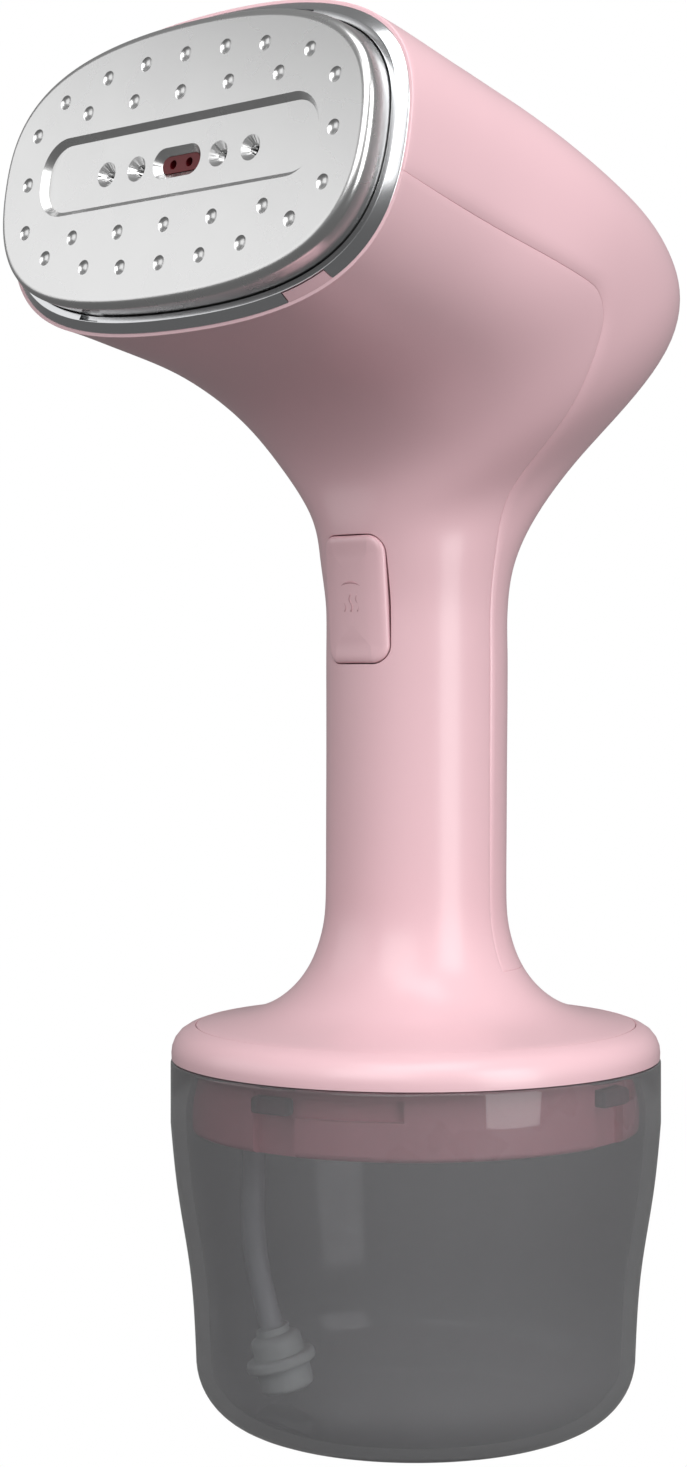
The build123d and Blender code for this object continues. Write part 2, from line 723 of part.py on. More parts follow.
def plate_gasket():
    with BuildPart() as gasket:
        for width, height, mode in ((45.5, 23.8, Mode.ADD), (41.5, 19.8, Mode.SUBTRACT)):
            with BuildSketch(head_plane(PLATE_SKIN)):
                with BuildLine():
                    add(head_oval(width, height))
                make_face()
            extrude(amount=PLATE_SKIN - BOILER_FRONT, mode=mode)
    return gasket


def element_route():
    side, end, turn_depth, back = 34.0, 14.0, 16.0, 34.0
    places = [(-10, -end, back), (-10, -end, turn_depth), (-side, -end, turn_depth), (-side, end, turn_depth),
              (side, end, turn_depth), (side, -end, turn_depth), (10, -end, turn_depth), (10, -end, back)]
    return [tuple(head_point(u, v, depth)) for u, v, depth in places]


ELEMENT = tube(element_route(), 6.0, ELEMENT_RADIUS)
LID_SCREWS = [(16, 18.9), (-16, 18.9), (22, -18.9), (-22, -18.9), (40.6, 0), (-40.6, 0)]


def boiler_outline(depth):
    with BuildSketch(head_plane(depth)) as outline:
        with BuildLine():
            add(head_oval(BOILER_HALF_WIDTH, BOILER_HALF_HEIGHT))
        make_face()
    return outline.sketch


def boiler_body():
    """Cast boiler: steam chamber open at the back, element cast in round it, five steam ways."""
    chamber_front = 12.0
    with BuildPart() as boiler:
        extrude(boiler_outline(BOILER_BACK), amount=BOILER_BACK - BOILER_FRONT)
        with BuildSketch(head_plane(BOILER_BACK)):
            RectangleRounded(52, 15, 6)
        extrude(amount=BOILER_BACK - chamber_front, mode=Mode.SUBTRACT)
        with BuildSketch(head_plane(BOILER_BACK)):
            with Locations((-19.7, 0), (-11.2, 0), (0, 0), (11.2, 0), (19.7, 0)):
                Circle(1.0)
        extrude(amount=BOILER_BACK, mode=Mode.SUBTRACT)
        with BuildSketch(head_plane(BOILER_BACK)):
            with Locations(*LID_SCREWS):
                Circle(SCREW_HOLE)
        extrude(amount=9, mode=Mode.SUBTRACT)
        add(ELEMENT, mode=Mode.SUBTRACT)
    return boiler


def boiler_lid():
    """Flat lid with the water nipple, clear of the element's two ends."""
    with BuildPart() as lid:
        extrude(boiler_outline(BOILER_BACK + LID_THICKNESS), amount=LID_THICKNESS)
        with BuildSketch(head_plane(BOILER_BACK + LID_THICKNESS)):
            with Locations((0, 4)):
                Circle(3.6)
        extrude(amount=-2)
        with BuildSketch(head_plane(BOILER_BACK + LID_THICKNESS + 2)):
            with Locations((0, 4)):
                Circle(NIPPLE_RADIUS)
        extrude(amount=-4)
        with BuildSketch(head_plane(BOILER_BACK + LID_THICKNESS + 9)):
            with Locations((0, 4)):
                Circle(0.8)
        extrude(amount=14, mode=Mode.SUBTRACT)
        with BuildSketch(head_plane(BOILER_BACK + LID_THICKNESS)):
            with Locations(*LID_SCREWS):
                Circle(SCREW_HOLE + 0.1)
            with Locations((10, -14), (-10, -14)):
                Circle(ELEMENT_RADIUS + 0.2)
        extrude(amount=LID_THICKNESS, mode=Mode.SUBTRACT)
    return lid


def lid_screws():
    with BuildPart() as screws:
        with BuildSketch(head_plane(BOILER_BACK + LID_THICKNESS)):
            with Locations(*LID_SCREWS):
                Circle(2.4)
        extrude(amount=-1.6)
        with BuildSketch(head_plane(BOILER_BACK + LID_THICKNESS)):
            with Locations(*LID_SCREWS):
                Circle(SCREW_RADIUS)
        extrude(amount=LID_THICKNESS + 8)
    return screws


def heating_element():
    with BuildPart() as element:
        add(ELEMENT)
    return element


def thermostat():
    """Snap disc thermostat on the boiler's lid, with two blade terminals."""
    back = BOILER_BACK + LID_THICKNESS
    with BuildPart() as disc:
        with BuildSketch(head_plane(back, -21, 3)):
            Circle(7.5)
        extrude(amount=-5)
        with BuildSketch(head_plane(back + 5, -21, 3)):
            with Locations((-4, 0), (4, 0)):
                Rectangle(0.8, 5)
        extrude(amount=-6)
    return disc


def thermal_fuse():
    back = BOILER_BACK + LID_THICKNESS
    with BuildPart() as fuse:
        with BuildSketch(head_plane(back, 20, 4)):
            RectangleRounded(14, 5, 2)
        extrude(amount=-3.6)
    return fuse


def boiler_frame():
    """Heat-resistant frame that holds the boiler clear of the casing."""
    with BuildPart() as frame:
        for width, height, mode in ((47.5, 25.4, Mode.ADD),
                                    (BOILER_HALF_WIDTH, BOILER_HALF_HEIGHT, Mode.SUBTRACT)):
            with BuildSketch(head_plane(20)):
                with BuildLine():
                    add(head_oval(width, height))
                make_face()
            extrude(amount=7, mode=mode)
        with BuildSketch(head_plane(13)):
            with Locations((30, 24.2), (-30, 24.2)):
                Rectangle(8, 1.6)
        extrude(amount=1, mode=Mode.SUBTRACT)
    return frame


def pump_body():
    """Moulded pump body with a nipple at each end and a straight bore for the plunger."""
    steps = ((104, PUMP_BOTTOM, NIPPLE_RADIUS), (PUMP_BOTTOM, 116, 8), (116, 142.5, 5.6),
             (142.5, PUMP_TOP, 8), (PUMP_TOP, 150.4, NIPPLE_RADIUS))
    with BuildPart() as body:
        for low, high, radius in steps:
            with BuildSketch(Plane.XY.offset(low)):
                Circle(radius)
            extrude(amount=high - low)
        with BuildSketch(Plane.XY.offset(115)):
            Circle(PUMP_BORE_RADIUS)
        extrude(amount=30, mode=Mode.SUBTRACT)
        with BuildSketch(Plane.XY.offset(103)):
            Circle(0.9)
        extrude(amount=60, mode=Mode.SUBTRACT)
    return body


def ring_part(inner, outer, low, high):
    with BuildPart() as ring:
        with BuildSketch(Plane.XY.offset(low)):
            Circle(outer)
            Circle(inner, mode=Mode.SUBTRACT)
        extrude(amount=high - low)
    return ring


def pump_plunger():
    with BuildPart() as plunger:
        with BuildSketch(Plane.XY.offset(118)):
            Circle(PLUNGER_RADIUS)
            Circle(1.0, mode=Mode.SUBTRACT)
        extrude(amount=17)
    return plunger


def coil_spring(radius, wire, pitch, length, start, direction):
    """Round-wire compression spring from start along direction."""
    with BuildPart() as spring:
        with BuildLine() as route:
            Helix(pitch=pitch, height=length, radius=radius, center=start, direction=direction)
        with BuildSketch(Plane(origin=route.line @ 0, z_dir=route.line % 0)):
            Circle(wire)
        sweep(path=route.line, is_frenet=True)
    return spring


def pump_cushions():
    """Two rubber rings that hang the pump in the handle, notched for the wires."""
    with BuildPart() as cushions:
        for low, high in ((112.4, 115.6), (143.0, 146.6)):
            with BuildSketch(Plane.XY.offset(low)):
                Circle(15.5)
                Circle(8.0, mode=Mode.SUBTRACT)
                with Locations((7, 13.5), (-7, 13.5)):
                    Rectangle(4, 7, mode=Mode.SUBTRACT)
            extrude(amount=high - low)
    return cushions


SUCTION = [(-24.7, -22.4, 66.5), (-24.7, -22.4, 72.0), (-17.0, -15.4, 79.5), (-8.0, -7.0, 88.0), (0, 0, 97.0),
           (0, 0, 111.5)]
PRESSURE = [(0, 0, 147.5), (0, 0, 153.0), (0, 9.5, 163.0), (0, 10.0, 178.0), (0, 9.0, 200.0), (0, 2.0, 222.0),
            (0, -15.0, 238.0)]


def suction_hose():
    with BuildPart() as hose:
        add(tube(SUCTION, corner_radii(SUCTION, 3.2), HOSE_RADIUS, HOSE_BORE))
    return hose


def pressure_hose():
    nipple = [tuple(head_point(0, 4, BOILER_BACK + LID_THICKNESS + depth)) for depth in (10.0, 2.3)]
    route = PRESSURE + nipple
    with BuildPart() as hose:
        add(tube(route, corner_radii(route, 3.2), HOSE_RADIUS, HOSE_BORE))
    return hose


def hose_clips():
    """Four spring clips, one on each hose end."""
    places = [Plane((-24.7, -22.4, 66.8)), Plane((0, 0, 107.0)), Plane((0, 0, 147.8)), head_plane(33.2, 0, 4)]
    with BuildPart() as clips:
        for place in places:
            with BuildSketch(place):
                Circle(HOSE_RADIUS + 0.8)
                Circle(HOSE_RADIUS, mode=Mode.SUBTRACT)
            extrude(amount=2.4)
    return clips


def steam_button():
    """Button cap that follows the handle, with a hidden flange and a round stem."""
    flange = 1.5
    with BuildPart() as button:
        add((casing_form(BUTTON_PROUD) - casing_form(-4.0, run_on=2.0)) & button_prism(0))
        add((casing_form(-SHELL_WALL - 0.2) - casing_form(-4.0, run_on=2.0)) & button_prism(flange))
        with BuildSketch(Plane.XZ.offset(8.5)):
            with Locations((0, BUTTON_AXIS_Z)):
                Circle(2.5)
        extrude(amount=6.6)
    return button


def switch_plunger():
    with BuildPart() as plunger:
        with BuildSketch(Plane.XZ.offset(2.6)):
            with Locations((0, BUTTON_AXIS_Z)):
                Circle(1.5)
        extrude(amount=5.6)
    return plunger


def micro_switch():
    with BuildPart() as switch:
        with BuildSketch(Plane.XZ.offset(-BOARD_FRONT)):
            with Locations((0, BUTTON_AXIS_Z)):
                Rectangle(9.0, 12.8)
        extrude(amount=BOARD_FRONT - SWITCH_FRONT)
        with BuildSketch(Plane.XZ.offset(0.6)):
            with Locations((0, BUTTON_AXIS_Z)):
                Circle(1.6)
        extrude(amount=6, mode=Mode.SUBTRACT)
    return switch


def control_board():
    """Circuit board behind the button with its relay, dropper and terminal blocks."""
    with BuildPart() as board:
        with BuildSketch(Plane.XZ.offset(-BOARD_FRONT - BOARD_THICKNESS)):
            with Locations((0, 180.2)):
                Rectangle(23, 39.5)
        extrude(amount=BOARD_THICKNESS)
        with BuildSketch(Plane.XZ.offset(-BOARD_FRONT)):
            with Locations((0, 190)):
                Rectangle(14, 12)
            with Locations((-7, 179)):
                Rectangle(5, 6)
        extrude(amount=6)
        with BuildSketch(Plane.XZ.offset(-BOARD_FRONT - BOARD_THICKNESS - 4)):
            with Locations((7, 163.5), (-7, 163.5), (8, 196), (-8, 196)):
                Rectangle(4.4, 5)
        extrude(amount=4)
    return board


def mains_wires():
    """Two insulated cores from the gland up past the pump to the board."""
    with BuildPart() as wires:
        for side in (7.0, -7.0):
            route = [(side / 4, 9.0, GLAND_Z), (side / 3, 9.0, GLAND_Z + 5), (side, 12.2, 113.0),
                     (side, 12.4, 132.0), (side, 12.2, 153.0), (side, 8.6, 163.0)]
            add(tube(route, corner_radii(route, 2.0), 1.0))
    return wires


def heater_wires():
    """Two cores from the board to the heating element's ends."""
    with BuildPart() as wires:
        for side in (8.0, -8.0):
            end = tuple(head_point(side * 1.25, -14, 34.2))
            near = tuple(head_point(side * 1.25, -14, 40.0))
            route = [(side, 5.6, 198.7), (side, 5.0, 206.0), (side * 1.1, -4.0, 218.0), near, end]
            add(tube(route, corner_radii(route, 2.0), 1.0))
    return wires


def cord_gland():
    """Rubber gland low on the back of the handle; the mains cord passes through it."""
    flange = 6.2
    groove = 4.95
    with BuildPart() as gland:
        with BuildSketch(Plane.XZ.offset(-17)):
            with Locations((0, GLAND_Z)):
                Circle(flange)
        extrude(amount=17 - GLAND_OUT)
        add(PROUD, mode=Mode.SUBTRACT)
        add(flare_form(), mode=Mode.SUBTRACT)
        for near, far, radius in ((GLAND_IN, 14.4, flange), (14.4, GLAND_OUT, groove)):
            with BuildSketch(Plane.XZ.offset(-near)):
                with Locations((0, GLAND_Z)):
                    Circle(radius)
            extrude(amount=near - far)
        with BuildSketch(Plane.XZ.offset(1 - GLAND_IN)):
            with Locations((0, GLAND_Z)):
                Circle(CORD_RADIUS)
        extrude(amount=-12, mode=Mode.SUBTRACT)
    return gland


def casing_screws():
    seat = CASING_SCREW_SPLIT + 6
    with BuildPart() as screws:
        add(screw_bores(SCREW_HEAD, seat, seat + 2))
        add(screw_bores(SCREW_RADIUS, CASING_SCREW_SPLIT - 13, seat + 1))
        add(screw_bores(0.9, seat + 1.1, seat + 3), mode=Mode.SUBTRACT)
    return screws


PIECES = {
    "front_shell": front_shell(),
    "rear_shell": rear_shell(),
    "base_rim": base_rim(),
    "tank_collar": tank_collar(),
    "collar_screws": collar_screws(),
    "tank_seal": tank_seal(),
    "water_tank": water_tank(),
    "intake_nipple": intake_nipple(),
    "intake_hose": intake_hose(),
    "intake_weight": intake_weight(),
    "intake_filter": intake_filter(),
    "air_valve": air_valve(),
    "bezel_ring": bezel_ring(),
    "steam_plate": steam_plate(),
    "nozzle_insert": nozzle_insert(),
    "plate_gasket": plate_gasket(),
    "boiler_body": boiler_body(),
    "boiler_lid": boiler_lid(),
    "lid_screws": lid_screws(),
    "heating_element": heating_element(),
    "thermostat": thermostat(),
    "thermal_fuse": thermal_fuse(),
    "boiler_frame": boiler_frame(),
    "pump_body": pump_body(),
    "pump_coil": ring_part(5.7, 11.4, 117.0, 141.5),
    "pump_yoke": ring_part(11.45, 12.1, 116.4, 142.1),
    "pump_plunger": pump_plunger(),
    "pump_spring": coil_spring(3.2, 0.35, 2.2, 8.6, (0, 0, 135.8), (0, 0, 1)),
    "pump_cushions": pump_cushions(),
    "suction_hose": suction_hose(),
    "pressure_hose": pressure_hose(),
    "hose_clips": hose_clips(),
    "steam_button": steam_button(),
    "button_spring": coil_spring(3.3, 0.3, 2.0, 8.6, (0, SWITCH_FRONT - 0.4, BUTTON_AXIS_Z), (0, -1, 0)),
    "switch_plunger": switch_plunger(),
    "micro_switch": micro_switch(),
    "control_board": control_board(),
    "mains_wires": mains_wires(),
    "heater_wires": heater_wires(),
    "cord_gland": cord_gland(),
    "casing_screws": casing_screws(),
}

os.makedirs("parts", exist_ok=True)
for name, piece in PIECES.items():
    piece.part.label = name
    export_step(piece.part, f"parts/{name}.step")
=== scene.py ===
import math

import bmesh
import bpy
import numpy as np
from mathutils import Matrix, Vector
from mathutils.bvhtree import BVHTree


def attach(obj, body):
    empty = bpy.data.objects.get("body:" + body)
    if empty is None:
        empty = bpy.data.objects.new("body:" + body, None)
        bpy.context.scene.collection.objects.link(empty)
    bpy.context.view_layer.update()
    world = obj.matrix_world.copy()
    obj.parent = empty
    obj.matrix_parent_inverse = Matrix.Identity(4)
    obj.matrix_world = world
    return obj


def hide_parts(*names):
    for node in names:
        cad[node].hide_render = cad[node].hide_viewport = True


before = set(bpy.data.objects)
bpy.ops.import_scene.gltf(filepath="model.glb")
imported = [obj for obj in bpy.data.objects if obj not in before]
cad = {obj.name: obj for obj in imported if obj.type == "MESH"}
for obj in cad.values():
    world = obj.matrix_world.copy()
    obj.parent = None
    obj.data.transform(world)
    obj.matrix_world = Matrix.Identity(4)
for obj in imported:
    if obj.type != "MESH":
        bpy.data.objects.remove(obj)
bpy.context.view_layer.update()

mm = 0.001

# Camera. It stands to the right of the steam plate at the height of the handle's grip
# and looks level, so that the uprights stay parallel.
view_bearing = math.radians(42.19)
camera_data = bpy.data.cameras.new("camera")
camera_data.sensor_width = 36.0
camera_data.lens = 65.7
camera_data.shift_x = -0.0492
camera_data.shift_y = -0.0365
camera_data.clip_start = 0.05
camera = bpy.data.objects.new("camera", camera_data)
camera.location = (0.3696, -0.4078, 0.1511)
camera.rotation_euler = (math.pi / 2, 0, view_bearing)
bpy.context.collection.objects.link(camera)
bpy.context.scene.camera = camera


# Intake hose. A soft silicone tube hangs from a barbed nipple in the collar's floor and
# ends in a moulded weight with a filter, which keeps its mouth on the tank's bottom.
def moulded(name, colour, rough, grain=0.35, grain_size=0.4, mottle=0.04, coat=0.0, metal=0.0):
    """Material of a moulded or pressed surface: fine grain, soft mottling, uneven gloss."""
    made = bpy.data.materials.new(name)
    made.use_nodes = True
    tree = made.node_tree
    shader = tree.nodes["Principled BSDF"]
    shader.inputs["Metallic"].default_value = metal
    shader.inputs["Coat Weight"].default_value = coat
    shader.inputs["Coat Roughness"].default_value = 0.12
    place = tree.nodes.new("ShaderNodeTexCoord")
    fine = tree.nodes.new("ShaderNodeTexNoise")
    fine.inputs["Scale"].default_value = 1 / (grain_size * mm)
    fine.inputs["Detail"].default_value = 3.0
    broad = tree.nodes.new("ShaderNodeTexNoise")
    broad.inputs["Scale"].default_value = 60.0
    broad.inputs["Detail"].default_value = 4.0
    for texture in (fine, broad):
        tree.links.new(place.outputs["Object"], texture.inputs["Vector"])
    shade = tree.nodes.new("ShaderNodeMix")
    shade.data_type = "RGBA"
    shade.inputs[6].default_value = [c * (1 - mottle) for c in colour] + [1]
    shade.inputs[7].default_value = [min(1.0, c * (1 + mottle)) for c in colour] + [1]
    tree.links.new(broad.outputs["Fac"], shade.inputs[0])
    tree.links.new(shade.outputs[2], shader.inputs["Base Color"])
    gloss = tree.nodes.new("ShaderNodeMapRange")
    gloss.inputs["To Min"].default_value = max(0.02, rough - 0.05)
    gloss.inputs["To Max"].default_value = rough + 0.05
    tree.links.new(broad.outputs["Fac"], gloss.inputs["Value"])
    tree.links.new(gloss.outputs["Result"], shader.inputs["Roughness"])
    bump = tree.nodes.new("ShaderNodeBump")
    bump.inputs["Strength"].default_value = grain
    bump.inputs["Distance"].default_value = 0.02 * mm
    tree.links.new(fine.outputs["Fac"], bump.inputs["Height"])
    tree.links.new(bump.outputs["Normal"], shader.inputs["Normal"])
    return made


def srgb(red, green, blue):
    """Linear colour from the three 0 to 255 values of a colour card."""
    return [((c / 255 + 0.055) / 1.055) ** 2.4 if c > 10 else c / 3294.6 for c in (red, green, blue)]


def finish_cad(names, material):
    """Gives carried-over pieces their material; their meshes stay as they are."""
    for name in names:
        piece = cad[name]
        piece.data.materials.clear()
        piece.data.materials.append(material)


def add_piece(name, mesh, material, body, slot, *stands_for):
    """Puts a finished mesh in the scene as a piece of the steamer."""
    piece = bpy.data.objects.new(name, mesh)
    bpy.context.collection.objects.link(piece)
    mesh.materials.clear()
    mesh.materials.append(material)
    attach(piece, body)
    if stands_for:
        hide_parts(*stands_for)


hose_route = [(-24.7, -22.4, 58.0), (-24.7, -22.4, 49.0), (-24.9, -22.6, 39.0), (-24.0, -21.8, 29.0),
              (-21.9, -19.9, 18.5)]
hose_diameter = 4.7 * mm
hose_curve = bpy.data.curves.new("intake_hose_line", "CURVE")
hose_curve.dimensions = "3D"
hose_line = hose_curve.splines.new("NURBS")
hose_line.points.add(len(hose_route) - 1)
for point, place in zip(hose_line.points, hose_route):
    point.co = [c * mm for c in place] + [1]
hose_line.order_u = 3
hose_line.use_endpoint_u = True
hose_line.resolution_u = 12
hose_curve.bevel_depth = hose_diameter / 2
hose_curve.bevel_resolution = 8
hose_curve.use_fill_caps = True
hose = bpy.data.objects.new("intake_hose_tube", hose_curve)
bpy.context.collection.objects.link(hose)
silicone_grey = moulded("silicone_grey", srgb(176, 178, 180), 0.5, grain=0.2)
hose_curve.materials.append(silicone_grey)
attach(hose, "handle")
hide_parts("intake_hose")
weight_plastic = moulded("weight_plastic", srgb(186, 190, 188), 0.45, grain=0.25)
finish_cad(["intake_weight", "intake_filter"], weight_plastic)
finish_cad(["intake_nipple", "air_valve"], moulded("nipple_plastic", srgb(150, 150, 150), 0.45))


# Water tank. One blow-moulded cup of smoke-tinted clear plastic: soft foot, gently
# waisted side, straight shoulder, and four lugs inside the mouth for the bayonet.
def arc(centre, radius, start, end, steps):
    """Points of a circular arc in a profile, angles in degrees."""
    return [(centre[0] + radius * math.cos(math.radians(start + (end - start) * i / steps)),
             centre[1] + radius * math.sin(math.radians(start + (end - start) * i / steps)))
            for i in range(steps + 1)]


def mesh_from(name, work):
    """Mesh of what a bmesh holds; the bmesh is freed."""
    mesh = bpy.data.meshes.new(name)
    work.to_mesh(mesh)
    work.free()
    return mesh


def lathe(name, profile, segments=144, crease=40):
    """Closed solid of revolution from a profile of (radius, height) points in millimetres."""
    work = bmesh.new()
    rings = []
    for radius, height in profile:
        if radius < 1e-6:
            rings.append([work.verts.new((0, 0, height * mm))] * segments)
            continue
        rings.append([work.verts.new((radius * mm * math.cos(2 * math.pi * i / segments),
                                      radius * mm * math.sin(2 * math.pi * i / segments), height * mm))
                      for i in range(segments)])
    for low, high in zip(rings, rings[1:] + rings[:1]):
        for i in range(segments):
            corners = []
            for corner in (low[i], low[(i + 1) % segments], high[(i + 1) % segments], high[i]):
                if corner not in corners:
                    corners.append(corner)
            if len(corners) > 2:
                work.faces.new(corners)
    bmesh.ops.recalc_face_normals(work, faces=work.faces)
    mesh = mesh_from(name, work)
    mesh.shade_smooth()
    mesh.set_sharp_from_angle(angle=math.radians(crease))
    return mesh


def smooth_through(knots, values, at):
    """Natural cubic spline through the given values."""
    knots, values, at = np.array(knots, float), np.array(values, float), np.array(at, float)
    gaps, count = np.diff(knots), len(knots)
    system, right = np.eye(count), np.zeros(count)
    for i in range(1, count - 1):
        system[i, i - 1:i + 2] = gaps[i - 1], 2 * (gaps[i - 1] + gaps[i]), gaps[i]
        right[i] = 6 * ((values[i + 1] - values[i]) / gaps[i] - (values[i] - values[i - 1]) / gaps[i - 1])
    bend = np.linalg.solve(system, right)
    k = np.clip(np.searchsorted(knots, at) - 1, 0, count - 2)
    left, rest, gap = at - knots[k], knots[k + 1] - at, gaps[k]
    return ((bend[k] * rest ** 3 + bend[k + 1] * left ** 3) / (6 * gap)
            + (values[k] / gap - bend[k] * gap / 6) * rest
            + (values[k + 1] / gap - bend[k + 1] * gap / 6) * left)


tank_wall = 3.0
tank_floor = 2.6
tank_side_z = np.linspace(13, 61, 30)
tank_side_r = smooth_through([13, 31, 47, 61], [45.0, 46.25, 48.75, 50.2], tank_side_z)
outside = ([(0, 0)] + arc((32, 13), 13, -90, -4, 14) + list(zip(tank_side_r, tank_side_z))[1:]
           + [(50.2, 66.0)] + arc((49.6, 73.1), 0.6, 0, 90, 4))
inside = (arc((47.8, 73.1), 0.6, 90, 180, 4) + [(47.2, 66.0)]
          + list(zip(tank_side_r - tank_wall, tank_side_z))[::-1][:-1]
          + arc((32 - 0.4, 13), 13 - tank_floor, -4, -90, 12) + [(0, tank_floor)])
tank_mesh = lathe("water_tank_mesh", outside + inside, 180)
smoke = bpy.data.materials.new("smoke_clear")
smoke.use_nodes = True
smoke_tree = smoke.node_tree
smoke_shader = smoke_tree.nodes["Principled BSDF"]
smoke_shader.inputs["Base Color"].default_value = (0.55, 0.55, 0.56, 1)
smoke_shader.inputs["Transmission Weight"].default_value = 0.88
smoke_shader.inputs["IOR"].default_value = 1.35
ripple = smoke_tree.nodes.new("ShaderNodeTexNoise")
ripple.inputs["Scale"].default_value = 35.0
ripple_place = smoke_tree.nodes.new("ShaderNodeTexCoord")
ripple_bump = smoke_tree.nodes.new("ShaderNodeBump")
ripple_bump.inputs["Strength"].default_value = 0.08
ripple_bump.inputs["Distance"].default_value = 1.0 * mm
smoke_gloss = smoke_tree.nodes.new("ShaderNodeMapRange")
smoke_gloss.inputs["To Min"].default_value = 0.02
smoke_gloss.inputs["To Max"].default_value = 0.06
smoke_tree.links.new(ripple_place.outputs["Object"], ripple.inputs["Vector"])
smoke_tree.links.new(ripple.outputs["Fac"], ripple_bump.inputs["Height"])
smoke_tree.links.new(ripple.outputs["Fac"], smoke_gloss.inputs["Value"])
smoke_through = smoke_tree.nodes.new("ShaderNodeBsdfTransparent")
smoke_through.inputs["Color"].default_value = (0.6, 0.6, 0.61, 1)
smoke_ray = smoke_tree.nodes.new("ShaderNodeLightPath")
smoke_choose = smoke_tree.nodes.new("ShaderNodeMixShader")
smoke_tree.links.new(smoke_ray.outputs["Is Shadow Ray"], smoke_choose.inputs["Fac"])
smoke_tree.links.new(smoke_shader.outputs["BSDF"], smoke_choose.inputs[1])
smoke_tree.links.new(smoke_through.outputs["BSDF"], smoke_choose.inputs[2])
smoke_tree.links.new(smoke_choose.outputs["Shader"], smoke_tree.nodes["Material Output"].inputs["Surface"])
smoke_tree.links.new(smoke_gloss.outputs["Result"], smoke_shader.inputs["Roughness"])
smoke_tree.links.new(ripple_bump.outputs["Normal"], smoke_shader.inputs["Normal"])


def ring_block(work, inner, outer, low, high, start, end, steps=8):
    """Closed block that follows part of a ring, angles in degrees; four of them make the lugs."""
    sections = []
    for i in range(steps + 1):
        turn = math.radians(start + (end - start) * i / steps)
        around = (math.cos(turn), math.sin(turn))
        sections.append([work.verts.new((radius * mm * around[0], radius * mm * around[1], height * mm))
                         for radius, height in ((inner, low), (outer, low), (outer, high), (inner, high))])
    for near, far in zip(sections, sections[1:]):
        for i in range(4):
            work.faces.new((near[i], near[(i + 1) % 4], far[(i + 1) % 4], far[i]))
    work.faces.new(sections[0][::-1])
    work.faces.new(sections[-1])


lugs = bmesh.new()
for lug in range(4):
    ring_block(lugs, 44.8, 47.3, 68.0, 71.0, 90 * lug + 1.0, 90 * lug + 11.5)
bmesh.ops.recalc_face_normals(lugs, faces=lugs.faces)
bmesh.ops.bevel(lugs, geom=[e for e in lugs.edges if e.calc_face_angle(0) > 1], offset=0.3 * mm, segments=2,
                affect="EDGES")
lugs.from_mesh(tank_mesh)
lugs.to_mesh(tank_mesh)
lugs.free()
tank_mesh.shade_smooth()
tank_mesh.set_sharp_from_angle(angle=math.radians(40))
add_piece("water_tank_cup", tank_mesh, smoke, "tank", "clear_tank", "water_tank")


# Bayonet collar, its seal and screws. The pink collar is screwed up under the rim and
# shows through the tank as a darker band; a red ring seals the tank's mouth.
pink = moulded("pink_satin", srgb(240, 199, 206), 0.32, grain=0.12, grain_size=0.5, mottle=0.012, coat=0.15)
collar_pink = moulded("collar_pink", srgb(214, 150, 160), 0.28, grain=0.06, mottle=0.02, coat=0.3)
finish_cad(["tank_collar"], collar_pink)
finish_cad(["tank_seal"], moulded("seal_red", srgb(150, 50, 50), 0.55))
screw_steel = moulded("screw_steel", srgb(190, 190, 190), 0.3, metal=1.0, grain=0.15)
finish_cad(["collar_screws", "casing_screws", "lid_screws"], screw_steel)

# Base rim. A round moulded ring that carries the flare above and covers the tank's
# mouth below; its outer corner is rolled over in one soft curve.
rim_outer = [(50.0, 74.0), (50.05, 75.2), (49.9, 76.5), (49.35, 77.9), (48.3, 79.2), (46.9, 80.1),
             (45.2, 80.7)]
rim_inner = [(45.05, 80.4), (45.05, 78.15), (34, 78.15), (34, 75.5), (49.1, 75.5), (49.1, 74.0)]
rim_mesh = lathe("base_rim_mesh", rim_outer + rim_inner, 180, 50)
add_piece("base_rim_shell", rim_mesh, pink, "handle", "pink_plastic", "base_rim")


# Casing shells. Two injection-moulded halves of satin pink plastic: a tube that rises
# from the flare as the handle, then fans round a line under the chin to the mouth.
hinge_y, hinge_z = -75.0, 165.0
handle_reach = 75
mouth_angle = math.radians(80.22)
seam_y, seam_bottom, seam_corner, seam_slope, seam_round = 2.0, 92.5, 225.5, math.radians(13), 9.0
shell_wall = 2.4
# Rows of height and radius, for the flare and the handle.
low_rows = [(80.7, 45.0), (82.2, 37.2), (84.5, 30.1), (88.4, 24.9), (92.5, 21.9), (97, 20.0), (102, 18.85),
            (108, 18.5), (118, 18.45), (134, 18.4), (149, 18.4)]
# A height in the first two rows and a fan angle in degrees in the rest, then the inner
# and outer edge, the half width, the rear and front exponent and the shoulder.
head_rows = [(149, 56.6, 93.4, 18.4, 2.0, 2.0, 0), (157, 56.6, 93.4, 18.4, 2.0, 2.0, 0),
             (0, 56.6, 93.4, 18.4, 2.0, 2.0, 0), (10, 56.6, 99.2, 20.0, 2.2, 2.1, 0),
             (18, 57.7, 118.6, 25.2, 2.5, 2.15, 0), (26, 60.9, 140.6, 39.8, 2.8, 2.2, 0),
             (34, 61.5, 140.6, 46.8, 3.1, 2.3, 0), (44, 59.6, 129.0, 50.6, 3.3, 2.4, 0.05),
             (56, 55.3, 119.8, 51.4, 3.3, 2.5, 0.14), (68, 52.4, 115.0, 52.2, 3.2, 2.6, 0.26),
             (80.22, 51.8, 115.0, 53.8, 3.1, 2.7, 0.38)]


def fullness(exponent):
    """Handle length that makes a quarter arc as full as a superellipse."""
    return (8 * 2 ** (-1 / exponent) - 4) / 3


def quarter(turn, full, shoulder=0.0):
    """Across and up shares of a quarter arc, turn from 0 at the side to 1 at the top."""
    back = 1 - turn
    across = back ** 3 + 3 * back ** 2 * turn + 3 * back * turn ** 2 * (full + 0.4 * shoulder)
    up = 3 * back ** 2 * turn * (full - shoulder) + 3 * back * turn ** 2 + turn ** 3
    return across, up


